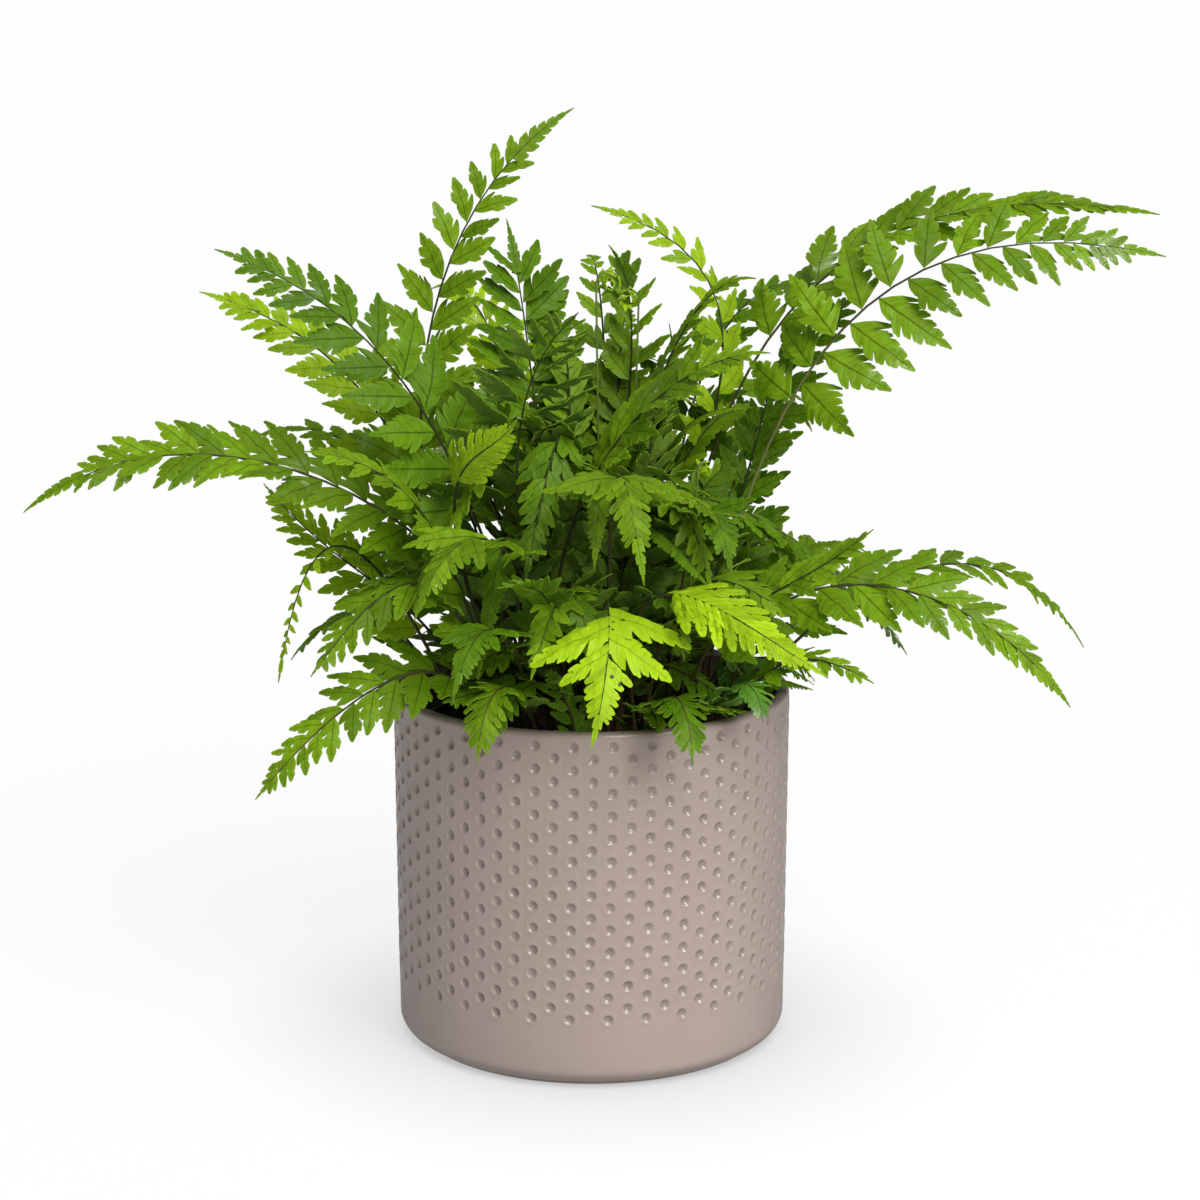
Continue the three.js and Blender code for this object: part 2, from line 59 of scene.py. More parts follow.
# Sizes of the solids that the pieces replace, in millimetres
POT_HEIGHT = 126.0
RIM_RADIUS = 70.0
BASE_RADIUS = 69.2
FOOT_RADIUS = 63.5
FOOT_STEP = 1.2
HEEL_ROUND = 6.0
WALL = 4.6
FLOOR = 7.0
LIP_ROUND = 2.0
LINER_FLOOR_Z = 7.3
LINER_TOP_Z = 112.3
LINER_RIM_RADIUS = 61.5
LINER_FOOT_RADIUS = 47.0
LINER_WALL = 1.2
LINER_BAND = 9.0
LINER_BAND_PROUD = 1.6
SOIL_TOP_Z = 108.3
SOIL_RADIUS = 57.6
SOIL_MOUND = 4.0
ROOT_DEPTH = 12.0

# Every frond: its name, tint and cut; where it leaves the soil, the points that it passes at one and at two
# thirds of its curve, and its tip, in millimetres; its longest leaflet, the pairs of leaflets that its solid
# has, the bare share of the stem, the roll of the blade and the fold of its leaflets in degrees.
FRONDS = (
    ("long_left", "mid", "lobed", (-26, -8), (-50, -15, 172), (-118, -31, 212), (-191, -40, 195),
     27, 11, 0.36, -32, 10),
    ("upper_left", "mid", "lobed", (-15, -6), (-36, -18, 178), (-67, -32, 243), (-125, -35, 283),
     31, 9, 0.42, -60, 0),
    ("upper_left_back", "young", "plain", (-32, 10), (-52, 9, 170), (-80, 6, 229), (-137, 15, 263),
     27, 9, 0.42, -45, 0),
    ("tall", "mid", "stalked", (-26, 5), (-58, 2, 190), (-50, 10, 272), (-6, 25, 326),
     27, 10, 0.42, 50, 38),
    ("top_dark", "deep", "stalked", (-6, 16), (-14, 18, 160), (-21, 22, 230), (-30, 30, 287),
     27, 7, 0.5, -35, 12),
    ("back_yellow", "young", "plain", (-14, 30), (-20, 44, 165), (-34, 60, 235), (-60, 84, 256),
     23, 6, 0.5, -40, 0),
    ("front_up", "deep", "stalked", (-12, -16), (-22, -26, 165), (-24, -34, 222), (-4, -60, 265),
     32, 7, 0.55, 0, 0),
    ("top_yellow", "young", "plain", (16, 18), (30, 14, 176), (46, 15, 248), (0, 15, 293),
     20, 8, 0.5, -50, 0),
    ("right_top", "mid", "stalked", (27, 18), (42, 19, 203), (92, 9, 277), (191, -20, 293),
     27, 10, 0.5, 30, 14),
    ("right_flat", "mid", "lobed", (34, -10), (53, -21, 195), (98, -31, 268), (190, -40, 281),
     29, 10, 0.48, 60, 0),
    ("right_mid", "deep", "plain", (36, 12), (42, 20, 160), (60, 25, 215), (96, 32, 262),
     30, 7, 0.35, 30, 0),
    ("front_mid", "mid", "lobed", (6, -20), (6, -35, 172), (9, -78, 214), (17, -106, 184),
     28, 7, 0.62, 0, -10),
    ("front_bright", "young", "webbed", (2, -34), (4, -56, 163), (6, -88, 166), (0, -110, 131),
     28, 6, 0.645, 0, -6),
    ("front_right_bright", "young", "webbed", (18, -30), (16, -56, 163), (38, -88, 174), (75, -114, 156),
     19, 6, 0.58, 28, -5),
    ("front_left", "mid", "lobed", (-8, -28), (-18, -44, 162), (-36, -74, 193), (-56, -104, 172),
     28, 7, 0.58, 0, -10),
    ("front_left_low", "deep", "plain", (-18, -30), (-24, -52, 145), (-34, -82, 164), (-44, -106, 146),
     22, 6, 0.5, 0, -6),
    ("young_left", "young", "stalked", (-18, -20), (-45, -43, 186), (-39, -57, 216), (-24, -66, 231),
     16, 5, 0.76, -45, 0),
    ("rim_left", "mid", "stalked", (-14, -42), (-22, -56, 132), (-31, -76, 142), (-37, -92, 122),
     15, 5, 0.4, 0, -5),
    ("low_left", "mid", "stalked", (-34, -30), (-48, -48, 140), (-77, -70, 138), (-110, -86, 108),
     22, 8, 0.35, -25, 0),
    ("left_mid", "mid", "stalked", (-30, -20), (-46, -38, 160), (-66, -56, 172), (-92, -76, 147),
     24, 7, 0.4, -20, -10),
    ("left_thin", "mid", "plain", (-38, 0), (-55, 0, 142), (-82, 2, 166), (-115, 4, 197),
     21, 8, 0.4, -60, 0),
    ("left_hang", "young", "plain", (-37, -10), (-66, -20, 160), (-90, -26, 180), (-107, -36, 135),
     8, 7, 0.5, -30, 0),
    ("right_main", "mid", "lobed", (38, -16), (62, -24, 158), (112, -48, 168), (160, -62, 133),
     31, 9, 0.33, 35, 0),
    ("right_second", "mid", "stalked", (42, 2), (80, 4, 147), (131, 10, 167), (176, 12, 136),
     24, 9, 0.42, 10, 5),
    ("right_low", "mid", "plain", (40, -28), (56, -42, 136), (74, -56, 148), (94, -65, 142),
     17, 6, 0.4, 10, 0),
    ("rim_right", "deep", "stalked", (16, -44), (22, -60, 130), (29, -80, 140), (33, -95, 122),
     15, 5, 0.4, 0, -5),
    ("rim_right_back", "deep", "plain", (30, -36), (42, -46, 130), (52, -58, 140), (57, -69, 130),
     15, 4, 0.45, 0, -5),
    ("centre_right", "mid", "lobed", (-4, -10), (-10, -32, 176), (18, -52, 232), (58, -69, 253),
     31, 7, 0.5, 38, 10),
    ("centre_left", "mid", "plain", (-24, -16), (-43, -36, 164), (-62, -52, 204), (-94, -64, 220),
     24, 6, 0.45, -35, 0),
    ("crown_mid", "mid", "plain", (6, 10), (8, 12, 175), (14, 14, 240), (6, 8, 280),
     23, 6, 0.45, -30, 0),
    ("crown_right", "deep", "plain", (22, 28), (28, 38, 175), (44, 48, 238), (78, 56, 262),
     24, 6, 0.5, 30, 0),
    ("crown_front", "mid", "plain", (12, -6), (12, -12, 180), (28, -18, 247), (55, -33, 273),
     26, 6, 0.5, 30, 0),
    ("right_inner", "deep", "plain", (38, 0), (47, 4, 165), (56, 6, 205), (64, 4, 240),
     24, 6, 0.4, 70, 0),
    ("right_glossy", "mid", "plain", (26, -26), (40, -40, 148), (62, -58, 172), (92, -74, 196),
     24, 6, 0.4, 40, 0),
    ("centre_low", "deep", "plain", (-6, -22), (-10, -50, 150), (-16, -80, 176), (-30, -100, 182),
     22, 6, 0.4, 0, 0),
    ("fill_left", "deep", "plain", (0, -1), (-5, -2, 150), (-12, -3, 182), (-36, -4, 206),
     26, 6, 0.35, -80, 0),
    ("fill_right", "deep", "plain", (18, -2), (22, -3, 150), (29, -4, 182), (50, -5, 208),
     26, 6, 0.35, 80, 0),
    ("front_right_high", "deep", "plain", (24, -18), (30, -26, 160), (38, -46, 196), (46, -76, 180),
     24, 6, 0.55, 0, 0),
    ("young_rim_mid", "deep", "plain", (-3, -50), (-5, -55, 119), (-8, -58, 133), (-15, -61, 146),
     13, 5, 0.3, -80, 0),
    ("young_side_right", "mid", "plain", (44, -20), (46, -23, 122), (53, -26, 142), (64, -29, 156),
     13, 5, 0.35, 80, 0),
    ("back_left", "mid", "plain", (-22, 30), (-34, 54, 175), (-56, 88, 215), (-82, 124, 190),
     28, 7, 0.4, 0, -5),
    ("back_mid", "deep", "plain", (0, 36), (2, 60, 185), (4, 98, 222), (2, 142, 185),
     28, 7, 0.4, 0, -5),
    ("back_right", "mid", "plain", (20, 34), (36, 58, 180), (58, 92, 218), (86, 128, 195),
     28, 7, 0.4, 0, -5),
    ("back_low_left", "deep", "plain", (-34, 24), (-52, 50, 145), (-72, 80, 162), (-88, 112, 132),
     24, 6, 0.35, 0, -5),
    ("back_low_mid", "mid", "plain", (8, 44), (12, 66, 140), (20, 96, 158), (30, 128, 130),
     24, 6, 0.35, 0, -5),
    ("back_low_right", "deep", "plain", (36, 26), (56, 48, 142), (78, 74, 160), (98, 100, 134),
     24, 6, 0.35, 0, -5),
    ("back_up", "mid", "plain", (6, 26), (6, 36, 178), (4, 54, 246), (-2, 86, 268),
     22, 6, 0.5, 0, 0),
    ("left_back", "mid", "plain", (-36, 16), (-54, 26, 160), (-84, 38, 203), (-128, 50, 204),
     24, 7, 0.4, 0, 0),
    ("right_back", "mid", "plain", (42, 16), (56, 24, 146), (80, 43, 167), (112, 60, 151),
     24, 7, 0.4, 0, 0),
    ("side_low_left", "mid", "plain", (-42, 8), (-60, 14, 130), (-82, 24, 146), (-110, 34, 126),
     19, 6, 0.4, 0, 0),
    ("side_low_right", "deep", "plain", (47, 10), (64, 20, 130), (88, 32, 148), (116, 42, 126),
     20, 6, 0.4, 0, 0),
)

# How a leaflet is cut: its widest half as a share of its length, how steeply it widens and narrows, the bare
# stalk, the half width that it starts with, how deep the lobes are cut, how far their veins slant forward,
# the size of the first lobe on the leading and on the other side, and where along the blade the leaflets
# start to grow together. The last cut is the leaflet at a frond's tip, which lies along the spine.
CUTS = {
    "stalked": {"wide": 0.25, "rise": 0.30, "fall": 0.9, "stalk": 0.02, "base": 0.0, "depth": 0.44,
                "slant": 0.8, "first": (1.35, 0.6), "web": 0.8},
    "lobed": {"wide": 0.238, "rise": 0.26, "fall": 0.95, "stalk": 0.01, "base": 0.0, "depth": 0.46,
              "slant": 0.9, "first": (1.3, 0.65), "web": 0.74},
    "plain": {"wide": 0.245, "rise": 0.26, "fall": 0.95, "stalk": 0.01, "base": 0.0, "depth": 0.42,
              "slant": 0.9, "first": (1.25, 0.7), "web": 0.72},
    "webbed": {"wide": 0.41, "rise": 0.45, "fall": 0.75, "stalk": 0.0, "base": 0.26, "depth": 0.38,
               "slant": 0.7, "first": (1.0, 0.85), "web": -0.5},
    "tail": {"wide": 0.17, "rise": 0.4, "fall": 1.0, "stalk": 0.0, "base": 0.11, "depth": 0.5,
             "slant": 0.9, "first": (1.0, 1.0)},
}

# What sets single fronds apart. A turned one shows its upper face to the front. The level is how far the
# leaflets turn to face the sky, and the seek how far they turn to the light. The tail is where along the
# blade a narrow end begins whose leaflets have grown together, the width is that end's leaflets as a share of
# the longest, and the tip is the leaflet at the very tip as a share of the frond's length. The spread turns
# the lowest leaflets further from the rib, and the close turns the uppermost ones nearer to it, in degrees.
# The number is that of the leaflets on a side, a small taper keeps the upper ones long, the gap is the way
# between them as a share of their length, and long makes those in the middle longer. Olive makes the stem
# lighter. A tint takes the place of the frond's own: fresh is a dull yellow-green, and gloss is shiny.
HABITS = {
    "long_left": {"number": 24, "long": 0.15, "tip": 0.10},
    "upper_left": {"number": 15, "spread": 12, "long": 0.1, "tint": "deep"},
    "upper_left_back": {"long": 0.1, "tint": "fresh"},
    "left_hang": {"tint": "fresh"},
    "top_yellow": {"tint": "fresh"},
    "tall": {"tip": 0.11},
    "right_top": {"spread": 4, "close": 32, "number": 22, "olive": 0.6},
    "right_flat": {"spread": 36, "number": 20, "long": 0.15, "olive": 1.0},
    "right_main": {"number": 19, "taper": 0.82, "close": 14},
    "right_second": {"taper": 0.8, "close": 12},
    "front_up": {"turned": True, "level": 1.6, "spread": 22},
    "young_left": {"turned": True, "tail": 0.12, "width": 0.72, "tint": "fresh"},
    "crown_mid": {"turned": True, "level": 0.6, "taper": 0.35},
    "centre_low": {"turned": True},
    "back_yellow": {"number": 16, "tint": "young"},
    "top_dark": {"level": 0.35, "number": 15, "taper": 0.25, "spread": 20, "tip": 0.1},
    "centre_left": {"level": -0.2},
    "centre_right": {"level": -0.25},
    "front_mid": {"tail": 0.48, "width": 0.36, "tip": 0.08, "spread": 15, "seek": 0.9},
    "front_bright": {"tail": 0.46, "width": 0.32, "gap": 0.4, "tip": 0.08, "spread": 16, "seek": 0.8},
    "front_right_bright": {"tail": 0.5, "width": 0.55, "gap": 0.4, "tip": 0.08, "spread": -14, "seek": 0.6},
    "front_left": {"tail": 0.5, "width": 0.36, "tip": 0.08, "spread": 8, "seek": 0.9},
    "front_left_low": {"tail": 0.55, "width": 0.38, "tip": 0.08, "seek": 0.7},
    "front_right_high": {"tail": 0.55, "width": 0.38, "tip": 0.08, "seek": 0.8},
    "rim_left": {"tail": 0.5, "width": 0.8, "tip": 0.08},
    "rim_right": {"tail": 0.4, "width": 0.85, "tip": 0.08},
    "rim_right_back": {"tail": 0.5, "width": 0.7, "tint": "gloss"},
    "young_side_right": {"tint": "gloss"},
    "left_thin": {"tint": "fresh"},
}

# Shorter fronds that fill the crown, in groups that each make one piece: its name and slot, how many fronds
# it has and how many of three are of the lighter green, and the middle and the half of the angle that they
# fan over, in degrees. Then come the least and the most, in millimetres, of the root's distance from the
# pot's middle, the crest's distance and height, the tip's distance and height, and the longest leaflet.
FILLS = (
    ("low", "leaf_deep", 15, 1, -90, 180, (38, 47), (58, 66), (130, 142), (76, 88), (124, 138), (12, 16)),
    ("inner", "leaf_deep", 10, 1, -90, 75, (8, 36), (34, 50), (136, 156), (52, 70), (128, 148), (15, 20)),
    ("middle", "leaf_mid", 20, 1, -90, 180, (18, 40), (46, 64), (155, 188), (74, 97), (140, 174), (19, 25)),
    ("front", "leaf_mid", 9, 2, -90, 80, (6, 28), (28, 44), (190, 226), (66, 94), (160, 200), (20, 26)),
    ("back", "leaf_mid", 9, 1, 90, 85, (6, 30), (26, 46), (190, 230), (48, 80), (205, 244), (20, 26)),
    ("crown", "leaf_mid", 11, 3, 45, 85, (4, 26), (14, 34), (208, 238), (30, 58), (220, 262), (18, 24)),
)

# Fronds that are still rolled up: where they leave the soil, where the roll is and its radius, in
# millimetres, and the way that it curls over to, in degrees
CROZIERS = (
    ((4, -4), (6, -2, 268), 4.6, 20),
    ((12, 2), (13, 4, 262), 3.6, 160),
    ((30, -14), (38, -22, 206), 3.4, 60),
    ((-20, 6), (-26, -8, 214), 3.2, 200),
)

# The fronds' shape: how much the leaflets crowd, where a blade ends, how far its leaflets lean from the rib at
# its foot and at its tip, how far they sag, and how they get shorter towards the tip
CROWDING = 1.35
BLADE_END = 0.985
SWEEP_LOW = math.radians(58)
SWEEP_TIP = math.radians(34)
LEAFLET_SAG = 0.18
LENGTH_TAPER = 0.8 / CROWDING
LENGTH_LEAST = 0.05
TIP_THINNING = 0.22

# The way from one leaflet to the next on its side, as a share of its length at the foot and at the tip of a
# blade, the least of it in millimetres, how many leaflets a side has for each pair of the solid, and at how
# many places the gaps are measured
GAP_LOW = 0.46
GAP_TIP = 0.56
GAP_LEAST = 1.9
LEAFLETS_PER_PAIR = 1.8
SAMPLES = 50

# How leaflets differ from each other: their length and gap as shares, their sweep, rise and twist in degrees,
# and what is added to their sag
LENGTH_UNREST = 0.08
GAP_UNREST = 0.12
SWEEP_UNREST = 7
RISE_UNREST = 12
TWIST_UNREST = 24
SAG_UNREST = (-0.14, 0.12)

# The waves of a leaflet's face: how high they are, how closely they follow one another along it and across
# it, and the layer of the noise that they are from
WAVES = ((0.04, 4, 6, 0), (0.018, 11, 14, 7))

# Where leaflets grow together: over how much of the blade the web comes, how much of their unevenness and of
# their turn to the light it takes away, how much of a leaflet it holds, on most fronds and on those with a
# narrow end, over how much of the leaflet it lets go, how much of the gap a leaflet's foot takes up along the
# rib, and how strong the web is where the leaflets are cut as webbed ones
WEB_RUN = 0.3
WEB_CALM = 0.75
WEB_STILL = 0.7
WEB_HOLD = 0.45
WEB_HOLD_TAIL = 0.58
WEB_RELEASE = 0.4
WEB_FOOT = 0.56
WEB_CUT = 0.4

# A midrib stands proud on leaflets that are longer than this, in millimetres, and webbed less than this. Its
# radius is a share of the rib's.
MIDRIB_LEAST = 7
MIDRIB_WEB = 0.5
MIDRIB_SHARE = 0.36

# A leaflet's mesh. Each lobe has a rounded back and a tooth in front: how far its columns stand back from the
# edge, as shares of the cut's depth, and how far they lead, as shares of a column.
NOTCHES = (1.0, 0.42, 0.10, 0.13, 0.0, 0.12)
LEADS = (-0.1, 0.0, 0.1, 0.15, 0.45, 0.75)
LOBE_COLUMNS = len(NOTCHES)
LEAFLET_ROWS = 4
LOBE_LENGTH = 5.2
FILL_LOBE_LENGTH = 7.2
MOST_LOBES = 7
VARIANTS = 4

# A leaflet's face: how its columns crowd towards the tip, how much deeper the second lobe is cut on the
# leading side, how much of a cut the inner rows share, how far the halves rise from the midrib and bend down
# again, and how far they swell between the veins
COLUMN_CROWDING = 0.95
SECOND_CUT = 1.35
INNER_CUT = 0.4
HALF_RISE = 0.24
HALF_BEND = 0.42
SWELLING = 0.014

# A frond's end: the leaflet at the tip as a share of the frond's length, and how much more finely than others
# it is cut; the leaflets of a narrow end as a share of the longest one, the way from one of them to the next
# as a share of its length, how bluntly the end closes, and how far before it the blade starts to narrow
TIP_SHARE = 0.05
TIP_FINENESS = 1.5
TAIL_WIDTH = 0.34
TAIL_GAP = 0.38
TAIL_CLOSE = 0.6
TAIL_LEAD = 0.14

# The stems' meshes
STEM_POINTS = 22
STEM_SIDES = 6

# Where the most light comes from, how far every leaflet turns to it, and the most that it turns
LIGHT = Vector((0.29, -0.63, 0.72))
SEEKING = 0.3
MOST_TURN = math.radians(70)


class PotSettings(bpy.types.PropertyGroup):
    """Sizes and colour of the glazed pot"""

    columns: IntProperty(
        name="Columns of dimples", description="Columns of dimples round the pot, an even number",
        default=66, min=20, max=90)
    rows: IntProperty(
        name="Dimples in a column", description="How many dimples stand above one another",
        default=13, min=1, max=13)
    pitch: FloatProperty(
        name="Pitch", description="Height from one dimple to the next in its column",
        default=8.0 * MM, unit="LENGTH")
    top_row: FloatProperty(
        name="Top row", description="Height of the uppermost dimples' middles",
        default=121.2 * MM, unit="LENGTH")
    depth: FloatProperty(
        name="Depth", description="How deep a dimple is pressed in",
        default=0.9 * MM, unit="LENGTH")
    lean: FloatProperty(
        name="Lean", description="How far the columns turn round the pot from their foot to their head",
        default=math.radians(1.6), subtype="ANGLE")
    glaze: FloatVectorProperty(
        name="Glaze", description="Colour of the glaze", subtype="COLOR", size=4, min=0, max=1,
        default=(0.264, 0.209, 0.180, 1))


class SoilSettings(bpy.types.PropertyGroup):
    """Sizes and colours of the nursery pot and the soil"""

    crumbs: IntProperty(
        name="Crumbs", description="Loose crumbs of bark on the soil", default=320, min=0, max=800)
    lump: FloatProperty(
        name="Lumps", description="How far the soil's surface rises and falls",
        default=1.6 * MM, unit="LENGTH")
    earth: FloatVectorProperty(
        name="Soil", description="Colour of the soil", subtype="COLOR", size=4, min=0, max=1,
        default=(0.030, 0.019, 0.012, 1))
    plastic: FloatVectorProperty(
        name="Plastic", description="Colour of the nursery pot", subtype="COLOR", size=4, min=0, max=1,
        default=(0.012, 0.012, 0.013, 1))


class FrondSettings(bpy.types.PropertyGroup):
    """Sizes and colours of the fronds"""

    thickness: FloatProperty(
        name="Leaf thickness", description="Thickness of a leaflet", default=0.3 * MM, unit="LENGTH")
    stem_low: FloatProperty(
        name="Stem radius", description="Radius of a stem at the soil", default=0.8 * MM, unit="LENGTH")
    stem_tip: FloatProperty(
        name="Rib radius at the tip", description="Radius of the rib at a frond's tip",
        default=0.17 * MM, unit="LENGTH")
    unrest: FloatProperty(
        name="Unevenness", description="How much the leaflets differ from each other",
        default=1.0, min=0, max=2)
    deep: FloatVectorProperty(
        name="Deep green", description="Colour of the old leaflets", subtype="COLOR", size=4, min=0, max=1,
        default=(0.099, 0.210, 0.006, 1))
    mid: FloatVectorProperty(
        name="Middle green", description="Colour of most leaflets", subtype="COLOR", size=4, min=0, max=1,
        default=(0.168, 0.294, 0.007, 1))
    fresh: FloatVectorProperty(
        name="Fresh green", description="Colour of the yellowish leaflets", subtype="COLOR", size=4,
        min=0, max=1, default=(0.288, 0.422, 0.009, 1))
    young: FloatVectorProperty(
        name="Young green", description="Colour of the young leaflets", subtype="COLOR", size=4, min=0, max=1,
        default=(0.405, 0.600, 0.012, 1))
    gloss: FloatVectorProperty(
        name="Glossy green", description="Colour of the shiny, bluish leaflets", subtype="COLOR", size=4,
        min=0, max=1, default=(0.115, 0.275, 0.030, 1))
    stem: FloatVectorProperty(
        name="Stem", description="Colour of the ribs", subtype="COLOR", size=4, min=0, max=1,
        default=(0.016, 0.020, 0.007, 1))


class StageSettings(bpy.types.PropertyGroup):
    """The floor, the lights and the camera"""

    floor: FloatVectorProperty(
        name="Floor", description="Colour of the floor", subtype="COLOR", size=4, min=0, max=1,
        default=(0.95, 0.95, 0.95, 1))
    glow: FloatProperty(
        name="Floor glow", description="Light that the floor gives of its own, which keeps its shadows pale",
        default=0.92, min=0)
    nearness: FloatProperty(
        name="Shade at the foot", description="How much darker the floor gets beside the pot",
        default=0.5, min=0, max=1)
    sky: FloatProperty(name="Sky", description="Strength of the light from all round", default=0.26, min=0)
    sun: FloatProperty(name="Sun", description="Strength of the broad light", default=3.4, min=0)
    key: FloatProperty(name="Key light", description="Power of the soft lamp", default=8.0, min=0)
    pitch: FloatProperty(
        name="Camera pitch", description="How far the camera looks down",
        default=math.radians(12.5), subtype="ANGLE")
    distance: FloatProperty(
        name="Camera distance", description="From the camera to what it looks at",
        default=1.057, unit="LENGTH")


def ease(low, high, value):
    """Runs smoothly from 0 to 1 as value goes from low to high."""
    t = max(0.0, min(1.0, (value - low) / (high - low)))
    return t * t * (3 - 2 * t)


def object_mode():
    if bpy.context.mode != "OBJECT":
        bpy.ops.object.mode_set(mode="OBJECT")


def select_none():
    object_mode()
    bpy.ops.object.select_all(action="DESELECT")


def select_only(*pieces):
    select_none()
    for piece in pieces:
        piece.select_set(True)
    bpy.context.view_layer.objects.active = pieces[0]


def apply_modifier(piece, kind, **settings):
    select_only(piece)
    modifier = piece.modifiers.new(kind.title(), kind)
    for key, value in settings.items():
        setattr(modifier, key, value)
    bpy.ops.object.modifier_apply(modifier=modifier.name)


def repeat(piece, count, offset):
    """Repeats a piece at an offset, and merges where the copies meet."""
    apply_modifier(piece, "ARRAY", count=count, use_relative_offset=False, use_constant_offset=True,
                   constant_offset_displace=offset, use_merge_vertices=True, merge_threshold=1e-6)


def join(pieces, name):
    select_only(*pieces)
    if len(pieces) > 1:
        bpy.ops.object.join()
    joined = bpy.context.view_layer.objects.active
    joined.name = name
    joined.data.name = name
    return joined


def weld(piece, distance=2e-6, outward=True):
    """Merges doubles, and turns the normals outwards."""
    select_only(piece)
    bpy.ops.object.mode_set(mode="EDIT")
    bpy.ops.mesh.select_all(action="SELECT")
    bpy.ops.mesh.remove_doubles(threshold=distance)
    if outward:
        bpy.ops.mesh.normals_make_consistent(inside=False)
    object_mode()


def smooth(piece, degrees):
    select_only(piece)
    bpy.ops.object.shade_smooth_by_angle(angle=math.radians(degrees))


def mesh_piece(name, points, faces):
    mesh = bpy.data.meshes.new(name)
    mesh.from_pydata(points, [], faces)
    piece = bpy.data.objects.new(name, mesh)
    bpy.context.scene.collection.objects.link(piece)
    return piece


def quarter(centre_r, centre_z, radius, start, end, steps):
    """Points of a round about (centre_r, centre_z), between two angles in degrees."""
    for i in range(steps + 1):
        angle = math.radians(start + (end - start) * i / steps)
        yield centre_r + radius * math.cos(angle), centre_z + radius * math.sin(angle)


def spun(name, profile, steps):
    """A closed or open profile of (radius, height) in millimetres, spun about Z."""
    points = [(r * MM, 0, z * MM) for r, z in profile]
    piece = mesh_piece(name, points, [])
    piece.data.edges.add(len(points) - 1)
    for i, edge in enumerate(piece.data.edges):
        edge.vertices = (i, i + 1)
    piece.data.update()
    select_only(piece)
    bpy.ops.object.mode_set(mode="EDIT")
    bpy.ops.mesh.select_all(action="SELECT")
    bpy.ops.mesh.spin(steps=steps, angle=math.tau, center=(0, 0, 0), axis=(0, 0, 1))
    object_mode()
    return piece


class Nodes:
    """The node tree of a new material, or of the world"""

    def __init__(self, owner):
        self.owner = bpy.data.materials.new(owner) if isinstance(owner, str) else owner
        self.owner.use_nodes = True
        self.tree = self.owner.node_tree
        self.tree.nodes.clear()

    def add(self, kind, inputs=None, **settings):
        node = self.tree.nodes.new("ShaderNode" + kind)
        for key, value in settings.items():
            setattr(node, key, value)
        for key, value in (inputs or {}).items():
            self.put(value, node.inputs[key])
        return node

    def put(self, value, socket):
        if isinstance(value, bpy.types.NodeSocket):
            self.tree.links.new(value, socket)
        else:
            socket.default_value = value

    def math(self, operation, *values):
        node = self.add("Math", operation=operation)
        for value, socket in zip(values, node.inputs):
            self.put(value, socket)
        return node.outputs[0]

    def step(self, value, low, high, to_low=0.0, to_high=1.0):
        """Runs smoothly from to_low to to_high as value goes from low to high."""
        ends = {"Value": value, "From Min": low, "From Max": high, "To Min": to_low, "To Max": to_high}
        return self.add("MapRange", ends, interpolation_type="SMOOTHSTEP").outputs["Result"]

    def mix(self, share, one, other):
        node = self.add("Mix", data_type="RGBA")
        for value, socket in zip((share, one, other), (node.inputs[0], node.inputs[6], node.inputs[7])):
            self.put(value, socket)
        return node.outputs[2]

    def cover(self, base, mask, most, colour):
        """Lays a colour over the base where the mask is, at most this much."""
        return self.mix(self.math("MULTIPLY", mask, most), base, colour)

    def noise(self, place, scale, detail=2.0, roughness=0.5):
        inputs = {"Vector": place, "Scale": scale, "Detail": detail, "Roughness": roughness}
        return self.add("TexNoise", inputs).outputs["Fac"]

    def place(self):
        return self.add("TexCoord").outputs["Object"]

    def parts(self, vector):
        return self.add("SeparateXYZ", {"Vector": vector}).outputs

    def map(self, name):
        """The two parts of a map of the piece's surface"""
        return self.parts(self.add("UVMap", uv_map=name).outputs["UV"])

    def bump(self, height, strength, distance):
        inputs = {"Height": height, "Strength": strength, "Distance": distance}
        return self.add("Bump", inputs).outputs["Normal"]

    def finish(self, shader, kind="Material"):
        self.add("Output" + kind, {"Surface": shader})
        return self.owner


def shade(colour, factor):
    return tuple(min(1.0, c * factor) for c in colour[:3]) + (1.0,)


def towards(colour, other, share):
    return tuple(a + (b - a) * share for a, b in zip(colour[:3], other[:3])) + (1.0,)


